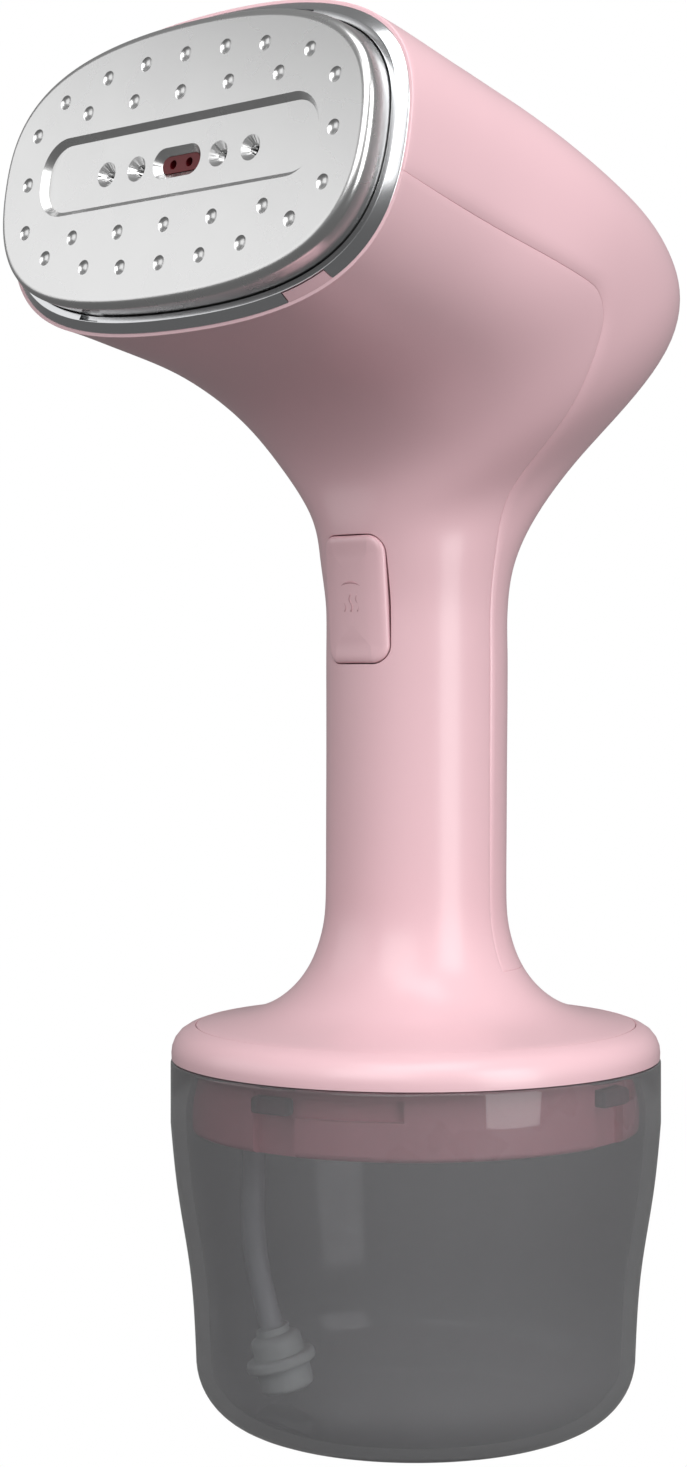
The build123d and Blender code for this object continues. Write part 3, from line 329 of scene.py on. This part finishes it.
def casing_row(lift, angle, inner, outer, half_width, rear_exp, front_exp, shoulder, side_turn, rear, count):
    """One row of surface points over the rear or the front arc, from seam to seam."""
    start, end = (side_turn, 2 - side_turn) if rear else (2 - side_turn, 4 + side_turn)
    turns = np.linspace(start, end, count)
    half = (outer - inner) / 2
    points = []
    for turn in turns:
        wrapped = turn % 4
        step, part = int(wrapped), wrapped % 1
        part = part if step in (0, 2) else 1 - part
        outside = step in (0, 1)
        across, up = quarter(part, fullness(rear_exp if outside else front_exp), shoulder if outside else 0.0)
        across *= -1 if step in (1, 2) else 1
        up *= -1 if step in (2, 3) else 1
        reach = (inner + outer) / 2 + half * up
        points.append((half_width * across, hinge_y + reach * math.cos(angle),
                       hinge_z + lift + reach * math.sin(angle)))
    return points


def seam_reach(angle):
    """Distance of the seam from the fan's hinge line, at a fan angle."""
    pull = seam_round * math.tan((math.pi / 2 - seam_slope) / 2)
    middle = (seam_y - seam_round, seam_corner - pull)
    line = [(seam_y, z) for z in np.linspace(hinge_z, seam_corner - pull, 20)]
    line += [(middle[0] + seam_round * math.cos(a), middle[1] + seam_round * math.sin(a))
             for a in np.linspace(0, math.pi / 2 - seam_slope, 20)]
    last = line[-1]
    line += [(last[0] - d, last[1] + d * math.tan(seam_slope)) for d in np.linspace(1, 80, 20)]
    angles = [math.atan2(z - hinge_z, y - hinge_y) for y, z in line]
    reaches = [math.hypot(y - hinge_y, z - hinge_z) for y, z in line]
    return np.interp(angle, angles, reaches)


def side_turn_at(angle, inner, outer, rear_exp, front_exp, shoulder):
    """Where along the outline the seam crosses its side: above 0 on the rear half."""
    reach = seam_reach(angle) if angle > 0 else seam_y - hinge_y
    share = (reach - (inner + outer) / 2) / ((outer - inner) / 2)
    table = np.linspace(0, 1, 200)
    if share > 0:
        ups = quarter(table, fullness(rear_exp), shoulder)[1]
    else:
        ups = quarter(table, fullness(front_exp))[1]
    return math.copysign(float(np.interp(abs(share), ups, table)), share)


def casing_stations(from_z):
    """Rows of section values from the crease (or the seam's foot) up and round to the mouth."""
    low = np.array(low_rows)
    along = np.concatenate([[0], np.cumsum(np.hypot(*np.diff(low, axis=0).T))])
    fine = np.linspace(0, along[-1], 74)
    heights = smooth_through(along, low[:, 0], fine)
    radii = smooth_through(along, low[:, 1], fine)
    start_r = float(np.interp(from_z, heights, radii))
    rounds = [(from_z, start_r)] + [(z, r) for z, r in zip(heights, radii) if from_z + 0.3 < z < 148.5]
    stations = [(z - hinge_z, 0.0, handle_reach - r, handle_reach + r, r, 2.0, 2.0, 0.0) for z, r in rounds]
    rows = np.array(head_rows)
    path = np.concatenate([rows[:2, 0], hinge_z + handle_reach * np.radians(rows[2:, 0])])
    fine = np.linspace(path[0], path[-1], 120)
    columns = [smooth_through(path, rows[:, k], fine) for k in range(1, 7)]
    for place, *values in zip(fine, *columns):
        stations.append((min(0.0, place - hinge_z), max(0.0, (place - hinge_z) / handle_reach), *values))
    return stations


def sheet_mesh(name, grids):
    """Open surface from grids of points, welded where they meet; faces point outwards."""
    work = bmesh.new()
    for grid in grids:
        verts = [[work.verts.new([c * mm for c in point]) for point in row] for row in grid]
        for low, high in zip(verts, verts[1:]):
            for i in range(len(low) - 1):
                work.faces.new((low[i], low[i + 1], high[i + 1], high[i]))
    bmesh.ops.remove_doubles(work, verts=work.verts, dist=1e-6)
    return mesh_from(name, work)


def baked(name, piece):
    """Plain mesh of an object with all its modifiers applied; the object is removed."""
    bpy.context.view_layer.update()
    result = bpy.data.meshes.new_from_object(piece.evaluated_get(bpy.context.evaluated_depsgraph_get()))
    result.name = name
    bpy.data.objects.remove(piece)
    return result


def shelled(name, mesh, thickness, bevel, cutters=()):
    """Gives a surface its wall, cuts its openings and softens its edges."""
    work = bpy.data.objects.new(name + "_work", mesh)
    bpy.context.collection.objects.link(work)
    wall = work.modifiers.new("wall", "SOLIDIFY")
    wall.thickness = thickness * mm
    wall.offset = -1
    wall.use_even_offset = True
    for cutter in cutters:
        cut = work.modifiers.new("opening", "BOOLEAN")
        cut.operation = "DIFFERENCE"
        cut.solver = "EXACT"
        cut.object = cutter
    soft = work.modifiers.new("edges", "BEVEL")
    soft.width = bevel * mm
    soft.segments = 3
    soft.limit_method = "ANGLE"
    soft.angle_limit = math.radians(40)
    result = baked(name, work)
    for cutter in cutters:
        bpy.data.objects.remove(cutter)
    result.shade_smooth()
    result.set_sharp_from_angle(angle=math.radians(50))
    return result


def grown(points_grid, growth):
    """Moves a grid of points outwards, by a distance for each row and none at its two sides."""
    grid = np.array(points_grid)
    along = np.gradient(grid, axis=0)
    round_ = np.gradient(grid, axis=1)
    normal = np.cross(round_, along)
    normal /= np.linalg.norm(normal, axis=2, keepdims=True)
    share = np.ones(grid.shape[1])
    share[[0, -1]] = 0.0
    return grid + normal * np.outer(growth, share)[:, :, None]


def both_grids(stations, count=72):
    """Grids of surface points over the front and over the rear, split at the seam."""
    front = []
    rear = []
    for station in stations:
        turn = side_turn_at(station[1], station[2], station[3], *station[5:])
        front.append(casing_row(*station, turn, False, count))
        rear.append(casing_row(*station, turn, True, count))
    return front, rear


front_stations = casing_stations(seam_bottom)
flare_stations = [s for s in casing_stations(80.7) if s[0] + hinge_z < seam_bottom - 0.3]
flare_stations += front_stations[:1]
front_grid, rear_grid = both_grids(front_stations)
flare_front, flare_rear = both_grids(flare_stations)
button_z, button_half_height, button_half_width, button_corner, button_gap = 167.25, 12.75, 8.0, 3.5, 0.25


def rounded_outline(half_width, half_height, corner, steps=8):
    """Points round a rectangle with round corners, from its right side upwards."""
    points = []
    for turn, (sign_x, sign_y) in enumerate(((1, 1), (-1, 1), (-1, -1), (1, -1))):
        centre = (sign_x * (half_width - corner), sign_y * (half_height - corner))
        points += arc(centre, corner, 90 * turn, 90 * turn + 90, steps)
    return points


def prism_object(name, outline, centre_z, near, far):
    """Cutter: an outline in X and Z pushed through along Y."""
    work = bmesh.new()
    front = [work.verts.new((x * mm, near * mm, (centre_z + z) * mm)) for x, z in outline]
    back = [work.verts.new((x * mm, far * mm, (centre_z + z) * mm)) for x, z in outline]
    work.faces.new(front)
    work.faces.new(back[::-1])
    for i in range(len(front)):
        j = (i + 1) % len(front)
        work.faces.new((front[i], back[i], back[j], front[j]))
    bmesh.ops.recalc_face_normals(work, faces=work.faces)
    cutter = bpy.data.objects.new(name, mesh_from(name, work))
    bpy.context.collection.objects.link(cutter)
    return cutter


front_sheet = sheet_mesh("front_sheet", [front_grid, flare_front, flare_rear])
casing_tree = BVHTree.FromPolygons([v.co for v in front_sheet.vertices],
                                   [p.vertices for p in front_sheet.polygons])
button_hole = prism_object("button_hole", rounded_outline(button_half_width + button_gap,
                                                          button_half_height + button_gap,
                                                          button_corner + button_gap), button_z, -30, -8)
front_mesh = shelled("front_shell_mesh", front_sheet, shell_wall, 0.3, [button_hole])
add_piece("front_casing", front_mesh, pink, "handle", "pink_plastic", "front_shell")
seam_step, step_foot, step_rise, step_end = 0.45, 96, 50, math.radians(14)
rear_growth = []
for station in front_stations:
    height = station[0] + hinge_z
    fade_in = min(1.0, max(0.0, (height - step_foot) / step_rise)) if station[1] == 0 else 1.0
    fade_out = min(1.0, (mouth_angle - station[1]) / step_end)
    rear_growth.append(seam_step * fade_in * fade_out)
rear_sheet = sheet_mesh("rear_sheet", [grown(rear_grid, rear_growth)])
rear_mesh = shelled("rear_shell_mesh", rear_sheet, shell_wall, 0.3)
add_piece("rear_casing", rear_mesh, pink, "handle", "pink_plastic", "rear_shell")
finish_cad(["cord_gland"], moulded("gland_rubber", srgb(40, 40, 42), 0.6))


# Steam button. A pink cap that follows the handle, a little proud of it, with a rolled
# edge; a light spring returns it and its stem presses the switch.
def on_casing(across, height, proud):
    """Point that stands proud of the handle's front at a place seen from straight ahead."""
    hit = casing_tree.ray_cast(Vector((across * mm, -0.06, height * mm)), Vector((0, 1, 0)))
    return hit[0] + hit[1] * (proud * mm) * (1 if hit[1].y < 0 else -1)


work = bmesh.new()
button_rings = []
button_levels = [(0.0, -2.6), (0.0, 0.05), (0.06, 0.3), (0.2, 0.5), (0.45, 0.66), (0.8, 0.77), (1.2, 0.82),
                 (1.7, 0.82), (2.6, 0.82), (3.4, 0.82), (4.6, 0.82), (6.0, 0.82), (7.4, 0.82)]
for inset, proud in button_levels:
    ring = []
    corner = max(0.05, button_corner - inset)
    for x, z in rounded_outline(button_half_width - inset, button_half_height - inset, corner, 8):
        ring.append(work.verts.new(on_casing(x, button_z + z, proud)))
    button_rings.append(ring)
for low, high in zip(button_rings, button_rings[1:]):
    for i in range(len(low)):
        j = (i + 1) % len(low)
        work.faces.new((low[i], low[j], high[j], high[i]))
work.faces.new(button_rings[-1])
work.faces.new(button_rings[0][::-1])
bmesh.ops.recalc_face_normals(work, faces=work.faces)
button_mesh = mesh_from("steam_button_mesh", work)
button_mesh.shade_smooth()
button_mesh.set_sharp_from_angle(angle=math.radians(50))
add_piece("steam_button_cap", button_mesh, pink, "button", "pink_plastic", "steam_button")

# Steam sign. Three short wavy lines under an arc stand a hair above the cap's face,
# in a slightly darker pink that is painted shade: it stands in for the shade in the
# sign's debossed grooves. Under the cap are its spring and the switch.
sign_lines = [[(x + 0.35 * math.sin(t * 2 * math.pi), -2.4 + 3.4 * t) for t in np.linspace(0, 1, 15)]
              for x in (-1.7, 0.0, 1.7)]
sign_lines.append([(3.3 * math.cos(math.radians(t)), 1.3 + 2.2 * math.sin(math.radians(t)))
                   for t in np.linspace(-8, 188, 25)])
sign_width = 0.3
work = bmesh.new()
for line in sign_lines:
    rows = []
    for k, (x, z) in enumerate(line):
        before, after = line[max(0, k - 1)], line[min(len(line) - 1, k + 1)]
        run = math.hypot(after[0] - before[0], after[1] - before[1])
        side = ((after[1] - before[1]) / run, -(after[0] - before[0]) / run)
        row = []
        for across, lift in ((-1, 0.76), (-0.6, 1.04), (0, 1.1), (0.6, 1.04), (1, 0.76)):
            row.append(work.verts.new(on_casing(x + side[0] * across * sign_width,
                                                button_z + z + side[1] * across * sign_width, lift)))
        rows.append(row)
    for low, high in zip(rows, rows[1:]):
        for k in range(4):
            work.faces.new((low[k], low[k + 1], high[k + 1], high[k]))
        work.faces.new((low[4], low[0], high[0], high[4]))
    work.faces.new(rows[0])
    work.faces.new(rows[-1][::-1])
bmesh.ops.recalc_face_normals(work, faces=work.faces)
sign_mesh = mesh_from("steam_sign_mesh", work)
sign_mesh.shade_smooth()
# The sign's darker pink is painted shade for its debossed grooves; the lines themselves stand raised.
add_piece("steam_sign", sign_mesh, moulded("sign_painted_shade_pink", srgb(214, 168, 176), 0.4), "button", "pink_plastic")
finish_cad(["button_spring"], screw_steel)
black_plastic = moulded("black_plastic", srgb(38, 38, 40), 0.45)
finish_cad(["micro_switch", "switch_plunger"], black_plastic)

# Bezel ring. Plated plastic ring round the steam plate: narrow bright face with two
# notches for the brush's hooks, sloping skirt, and a neck that plugs into the mouth.
face_tilt = math.pi / 2 - mouth_angle
face_y, face_z, face_drop = -67.79, 248.65, 0.3
plate_half_width, plate_half_height = 49.9, 27.7
plate_top_exp, plate_low_exp, plate_shoulder = 3.1, 2.7, 0.38
tilt_sin = math.sin(face_tilt)
tilt_cos = math.cos(face_tilt)
plate_place = Matrix(((1, 0, 0, 0),
                      (0, tilt_sin, -tilt_cos, (face_y - face_drop * tilt_sin) * mm),
                      (0, tilt_cos, tilt_sin, (face_z - face_drop * tilt_cos) * mm),
                      (0, 0, 0, 1)))


def plate_edge(step, turn):
    """Point of the plate's outline, step outside it, turn running 0 to 4 from the right side."""
    quadrant, part = int(turn % 4), turn % 1
    part = part if quadrant in (0, 2) else 1 - part
    if quadrant < 2:
        across, up = quarter(part, fullness(plate_top_exp), plate_shoulder)
    else:
        across, up = quarter(part, fullness(plate_low_exp))
    return ((plate_half_width + step) * across * (-1 if quadrant in (1, 2) else 1),
            (plate_half_height + step) * up * (-1 if quadrant > 1 else 1))


def swept_round(name, sections):
    """Closed ring or capped bar through sections of (turn, [(step, depth), ...])."""
    work = bmesh.new()
    rows = []
    for turn, profile in sections:
        row = []
        for step, depth in profile:
            across, up = plate_edge(step, turn)
            row.append(work.verts.new((across * mm, up * mm, -depth * mm)))
        rows.append(row)
    closed = abs(sections[-1][0] - sections[0][0]) > 3.9
    for low, high in zip(rows, rows[1:] + (rows[:1] if closed else [])):
        for i in range(len(low)):
            j = (i + 1) % len(low)
            work.faces.new((low[i], low[j], high[j], high[i]))
    if not closed:
        work.faces.new(rows[0])
        work.faces.new(rows[-1][::-1])
    bmesh.ops.remove_doubles(work, verts=work.verts, dist=1e-7)
    bmesh.ops.dissolve_degenerate(work, edges=work.edges, dist=1e-7)
    bmesh.ops.recalc_face_normals(work, faces=work.faces)
    work.transform(plate_place)
    mesh = mesh_from(name, work)
    mesh.shade_smooth()
    mesh.set_sharp_from_angle(angle=math.radians(50))
    return mesh


def eased(corners, steps=4):
    """Closed profile with each corner (x, y, radius) rounded."""
    points = []
    for k, (x, y, radius) in enumerate(corners):
        if radius == 0:
            points.append((x, y))
            continue
        here = Vector((x, y))
        back = Vector(corners[k - 1][:2]) - here
        ahead = Vector(corners[(k + 1) % len(corners)][:2]) - here
        half = back.angle(ahead) / 2
        reach = radius / math.tan(half)
        start = here + back.normalized() * reach
        end = here + ahead.normalized() * reach
        for i in range(steps + 1):
            t = i / steps
            points.append(tuple((1 - t) ** 2 * start + 2 * t * (1 - t) * here + t ** 2 * end))
    return points


ring_profile = eased([(0.25, 5.5, 0.2), (1.0, 5.5, 0), (1.5, 5.5, 0.3), (3.4, 7.1, 0.15), (1.1, 7.1, 0),
                      (1.1, 11.0, 0.2), (0.25, 11.0, 0.2)])
key_across, key_up, key_length, key_turn = 32.5, -24.0, 10.5, math.radians(21)


def turns_between(low, high, first_turn, along):
    """First and last turn, in one half of the outline, where a measure of the edge is in a range."""
    turns = np.linspace(first_turn, first_turn + 2, 4000)
    found = [turn for turn in turns if low < along(*plate_edge(2, turn)) < high]
    return min(found), max(found)


def along_key(across, up):
    """How far an edge point lies along the key tab, from the tab's middle."""
    return (across - key_across) * math.cos(key_turn) + (up - key_up) * math.sin(key_turn)


key_fit = 0.15
key_room = key_length / 2 + key_fit
key_start, key_end = turns_between(-key_room, key_room, 2, lambda x, y: along_key(x, y) if x > 10 else 99)
notch_near, notch_far, notch_floor = 22.2, 27.8, 6.5
notches = [turns_between(notch_near, notch_far, 0, lambda x, y: x),
           turns_between(-notch_far, -notch_near, 2, lambda x, y: x)]
ring_face = 1.5
key_profile = [(min(step, ring_face), depth) for step, depth in ring_profile]
notch_profile = [(step, max(depth, notch_floor) if step <= 1.01 else depth) for step, depth in ring_profile]
ring_sections = []
for turn in np.linspace(0, 4, 385)[:-1]:
    if not any(start - 0.004 < turn < end + 0.004 for start, end in [(key_start, key_end)] + notches):
        ring_sections.append((turn, ring_profile))
for (start, end), cut in [((key_start, key_end), key_profile)] + [(n, notch_profile) for n in notches]:
    ring_sections += [(start, ring_profile), (start + 1e-5, cut)]
    ring_sections += [(t, cut) for t in np.linspace(start, end, 14)[1:-1]]
    ring_sections += [(end - 1e-5, cut), (end, ring_profile)]
ring_sections.sort(key=lambda section: section[0])
chrome = moulded("chrome_plate", srgb(214, 215, 217), 0.2, grain=0.02, mottle=0.01, metal=1.0)
add_piece("bezel_trim", swept_round("bezel_ring_mesh", ring_sections), chrome, "handle", "chrome_ring",
          "bezel_ring")
tab_profile = eased([(1.66, 5.72, 0.1), (3.25, 7.05, 0.3), (3.3, 8.4, 0), (1.66, 8.4, 0)])
tab_turn = key_fit / 50
tab_sections = [(t, tab_profile) for t in np.linspace(key_start + tab_turn, key_end - tab_turn, 12)]
add_piece("casing_key_tab", swept_round("casing_key_mesh", tab_sections), pink, "handle", "pink_plastic")


# Steam plate. Pressed aluminium with a satin polish, dimpled all over, with a shallow
# tray round the steam holes and the red nozzle behind the middle slot.
def tree_with(name, sockets):
    """Empty geometry tree with named inputs and one geometry output."""
    tree = bpy.data.node_groups.new(name, "GeometryNodeTree")
    for label, kind in sockets:
        tree.interface.new_socket(label, in_out="INPUT", socket_type=kind)
    tree.interface.new_socket("Geometry", in_out="OUTPUT", socket_type="NodeSocketGeometry")
    return tree, tree.nodes.new("NodeGroupInput"), tree.nodes.new("NodeGroupOutput")


def grown_by(name, tree, values, start):
    """Runs a geometry tree on a mesh and returns the plain result."""
    work = bpy.data.objects.new(name, start)
    bpy.context.collection.objects.link(work)
    nodes_step = work.modifiers.new("tree", "NODES")
    nodes_step.node_group = tree
    for item in tree.interface.items_tree:
        if item.in_out == "INPUT" and item.name in values:
            nodes_step[item.identifier] = values[item.name]
    return baked(name, work)


def points_mesh(name, points):
    """Loose points, given in millimetres, for a tree to put something on."""
    mesh = bpy.data.meshes.new(name)
    mesh.from_pydata([[c * mm for c in point] for point in points], [], [])
    return mesh


dimple_tree, dimple_in, dimple_out = tree_with("dimples", [("Geometry", "NodeSocketGeometry"),
                                                           ("Ball Radius", "NodeSocketFloat"),
                                                           ("Finish", "NodeSocketMaterial")])
ball = dimple_tree.nodes.new("GeometryNodeMeshUVSphere")
ball.inputs["Segments"].default_value = 32
ball.inputs["Rings"].default_value = 24
spread = dimple_tree.nodes.new("GeometryNodeInstanceOnPoints")
real = dimple_tree.nodes.new("GeometryNodeRealizeInstances")
dress = dimple_tree.nodes.new("GeometryNodeSetMaterial")
dimple_tree.links.new(dimple_in.outputs["Ball Radius"], ball.inputs["Radius"])
dimple_tree.links.new(dimple_in.outputs["Geometry"], spread.inputs["Points"])
dimple_tree.links.new(ball.outputs["Mesh"], spread.inputs["Instance"])
dimple_tree.links.new(spread.outputs["Instances"], real.inputs["Geometry"])
dimple_tree.links.new(real.outputs["Geometry"], dress.inputs["Geometry"])
dimple_tree.links.new(dimple_in.outputs["Finish"], dress.inputs["Material"])
dimple_tree.links.new(dress.outputs["Geometry"], dimple_out.inputs["Geometry"])

satin = moulded("satin_plate", srgb(224, 224, 224), 0.27, grain=0.1, grain_size=0.25, mottle=0.02, metal=1.0)
dimple_ball, dimple_depth = 2.3, 0.55
dimple_spots = [(0, 20.3), (0, 12.9)]
for across, up in ((10.9, 20.0), (21.5, 18.9), (33.5, 15.8), (40.7, 9.9), (12.9, 12.9), (26.1, 12.5)):
    dimple_spots += [(across, up), (-across, up)]
dimple_spots += [(across, -up) for across, up in dimple_spots] + [(41.8, 0), (-41.8, 0)]
dimple_cutter = grown_by("dimple_cutter", dimple_tree, {"Ball Radius": dimple_ball * mm, "Finish": satin},
                         points_mesh("dimple_points", [(x, y + face_drop, dimple_ball - dimple_depth)
                                                       for x, y in dimple_spots]))


def tapered(work, outline_low, outline_high, low, high):
    """Closed block between two outlines of equal count, in the plate's own frame."""
    bottom = [work.verts.new((x * mm, y * mm, low * mm)) for x, y in outline_low]
    top = [work.verts.new((x * mm, y * mm, high * mm)) for x, y in outline_high]
    for i in range(len(bottom)):
        j = (i + 1) % len(bottom)
        work.faces.new((bottom[i], bottom[j], top[j], top[i]))
    work.faces.new(bottom[::-1])
    work.faces.new(top)


def shifted(outline, across, up=0.0):
    """The same outline, moved sideways and up."""
    return [(x + across, y + up) for x, y in outline]


tray_depth = 1.2
tray_cutter, funnel_cutter, bore_cutter = bmesh.new(), bmesh.new(), bmesh.new()
tray_low = shifted(rounded_outline(36.7, 6.75, 5.8, 14), 0, 0.55)
tray_high = shifted(rounded_outline(38.7, 8.75, 7.8, 14), 0, 0.55)
tapered(tray_cutter, tray_low, tray_high, -tray_depth, 0.8)
funnel_low, funnel_high = -tray_depth - 1.5, -tray_depth + 0.4
hole_bore, hole_foot, hole_mouth = [arc((0, 0), radius, 0, 352.5, 47) for radius in (1.2, 1.0, 2.9)]
for across in (-19.7, -11.2, 11.2, 19.7):
    tapered(bore_cutter, shifted(hole_bore, across), shifted(hole_bore, across), -6, 1)
    tapered(funnel_cutter, shifted(hole_foot, across), shifted(hole_mouth, across), funnel_low, funnel_high)
slot_bore = rounded_outline(5.2, 1.75, 1.74, 10)
tapered(bore_cutter, slot_bore, slot_bore, -6, 1)
tapered(funnel_cutter, rounded_outline(5.0, 1.55, 1.54, 10), rounded_outline(6.9, 3.45, 3.44, 10),
        funnel_low, funnel_high)
plate_work = bmesh.new()
plate_round = 1.8
plate_count = 240
plate_profile = [(-plate_round, 0)]
plate_profile += [(-plate_round + plate_round * math.sin(a), plate_round - plate_round * math.cos(a))
                  for a in np.linspace(0, math.pi / 2, 9)[1:]]
plate_profile += [(0, 9.0), (-2.6, 9.0), (-2.6, 4.0)]
plate_rings = [[plate_work.verts.new([c * mm for c in plate_edge(step, turn)] + [-depth * mm])
                for turn in np.linspace(0, 4, plate_count + 1)[:-1]] for step, depth in plate_profile]
for low, high in zip(plate_rings, plate_rings[1:]):
    for i in range(plate_count):
        plate_work.faces.new((low[i], low[i - 1], high[i - 1], high[i]))
plate_work.faces.new(plate_rings[0])
plate_work.faces.new(plate_rings[-1][::-1])
bmesh.ops.recalc_face_normals(plate_work, faces=plate_work.faces)
plate_object = bpy.data.objects.new("steam_plate_work", mesh_from("steam_plate_blank", plate_work))
bpy.context.collection.objects.link(plate_object)
cutter_objects = []
for name, source in (("tray", tray_cutter), ("funnels", funnel_cutter), ("bores", bore_cutter),
                     ("dimples", dimple_cutter)):
    cutter_mesh = source
    if name != "dimples":
        bmesh.ops.recalc_face_normals(source, faces=source.faces)
        cutter_mesh = mesh_from(name, source)
    cutter = bpy.data.objects.new(name, cutter_mesh)
    bpy.context.collection.objects.link(cutter)
    cutter_objects.append(cutter)
    cut = plate_object.modifiers.new(name, "BOOLEAN")
    cut.operation = "DIFFERENCE"
    cut.solver = "EXACT"
    cut.object = cutter
plate_soft = plate_object.modifiers.new("edges", "BEVEL")
plate_soft.width = 0.22 * mm
plate_soft.segments = 2
plate_soft.limit_method = "ANGLE"
plate_soft.angle_limit = math.radians(25)
plate_even = plate_object.modifiers.new("even", "WEIGHTED_NORMAL")
plate_even.weight = 80
plate_mesh = baked("steam_plate_mesh", plate_object)
for cutter in cutter_objects:
    bpy.data.objects.remove(cutter)
plate_mesh.transform(plate_place)
add_piece("steam_plate_face", plate_mesh, satin, "handle", "plate_metal", "steam_plate")
finish_cad(["nozzle_insert"], moulded("nozzle_red", srgb(96, 14, 22), 0.4))

# Boiler, pump and wiring. The cast boiler sits in the head behind the plate and the pump
# below it in the handle, with a hose down into the collar. These meshes are carried over
# and only take on their materials.
finish_cad(["plate_gasket"], moulded("gasket_red", srgb(150, 50, 50), 0.6))
cast = moulded("cast_aluminium", srgb(170, 170, 168), 0.5, metal=1.0, grain=0.6, grain_size=0.8)
finish_cad(["boiler_body", "boiler_lid"], cast)
finish_cad(["heating_element", "thermostat", "thermal_fuse", "pump_plunger", "pump_spring"], screw_steel)
finish_cad(["boiler_frame"], moulded("frame_plastic", srgb(225, 222, 214), 0.5))
finish_cad(["pump_body"], moulded("pump_plastic", srgb(236, 234, 228), 0.45))
copper = moulded("coil_copper", srgb(184, 98, 50), 0.3, metal=1.0, grain=0.8, grain_size=0.3)
finish_cad(["pump_coil"], copper)
finish_cad(["pump_yoke"], moulded("yoke_steel", srgb(150, 152, 156), 0.35, metal=1.0))
finish_cad(["pump_cushions"], moulded("cushion_rubber", srgb(48, 48, 48), 0.7))
finish_cad(["suction_hose", "pressure_hose"], moulded("hose_silicone", srgb(222, 222, 220), 0.4))
finish_cad(["hose_clips"], screw_steel)
finish_cad(["control_board"], moulded("board_green", srgb(40, 96, 58), 0.4))
finish_cad(["mains_wires", "heater_wires"], moulded("wire_sleeve", srgb(220, 216, 206), 0.6))


# Lamps and surrounding light. Four soft boxes and a dim grey sky, a little brighter
# above; plain white is seen behind the object, and there is no floor under it.
def soft_lamp(name, place, aim, width, height, power):
    """Large rectangular lamp, like a window or a light box."""
    lamp = bpy.data.lights.new(name, "AREA")
    lamp.shape = "RECTANGLE"
    lamp.size = width
    lamp.size_y = height
    lamp.energy = power
    box = bpy.data.objects.new(name, lamp)
    box.location = place
    box.rotation_euler = (Vector(aim) - Vector(place)).to_track_quat("-Z", "Y").to_euler()
    bpy.context.collection.objects.link(box)


soft_lamp("key", (1.0, -0.07, 0.40), (0, -0.02, 0.17), 0.5, 1.0, 6.8)
soft_lamp("top", (0.25, -0.25, 1.0), (0, -0.02, 0.2), 0.6, 0.6, 3.4)
soft_lamp("front", (0.31, -0.82, 0.68), (0, -0.02, 0.13), 0.7, 0.7, 3.9)
soft_lamp("plate_fill", (-0.72, -0.76, 0.46), (0, -0.07, 0.25), 0.9, 0.6, 1.5)
world = bpy.data.worlds.new("studio")
bpy.context.scene.world = world
world.use_nodes = True
world_tree = world.node_tree
sky = world_tree.nodes["Background"]
direction = world_tree.nodes.new("ShaderNodeTexCoord")
parts = world_tree.nodes.new("ShaderNodeSeparateXYZ")
shade = world_tree.nodes.new("ShaderNodeValToRGB")
height = world_tree.nodes.new("ShaderNodeMapRange")
height.inputs["From Min"].default_value = -1.0
for place in (0.4, 0.55):
    shade.color_ramp.elements.new(place)
for stop, level in zip(shade.color_ramp.elements, (0.15, 0.15, 0.24, 0.25)):
    stop.color = (level, level, level, 1)
world_tree.links.new(direction.outputs["Generated"], parts.inputs[0])
world_tree.links.new(parts.outputs["Z"], height.inputs["Value"])
world_tree.links.new(height.outputs["Result"], shade.inputs["Fac"])
world_tree.links.new(shade.outputs["Color"], sky.inputs["Color"])
backdrop = world_tree.nodes.new("ShaderNodeBackground")
backdrop.inputs["Color"].default_value = (1, 1, 1, 1)
backdrop.inputs["Strength"].default_value = 1.0
ray = world_tree.nodes.new("ShaderNodeLightPath")
choose = world_tree.nodes.new("ShaderNodeMixShader")
world_tree.links.new(ray.outputs["Is Camera Ray"], choose.inputs[0])
world_tree.links.new(sky.outputs[0], choose.inputs[1])
world_tree.links.new(backdrop.outputs[0], choose.inputs[2])
world_tree.links.new(choose.outputs[0], world_tree.nodes["World Output"].inputs["Surface"])
bpy.context.scene.view_settings.view_transform = "Standard"
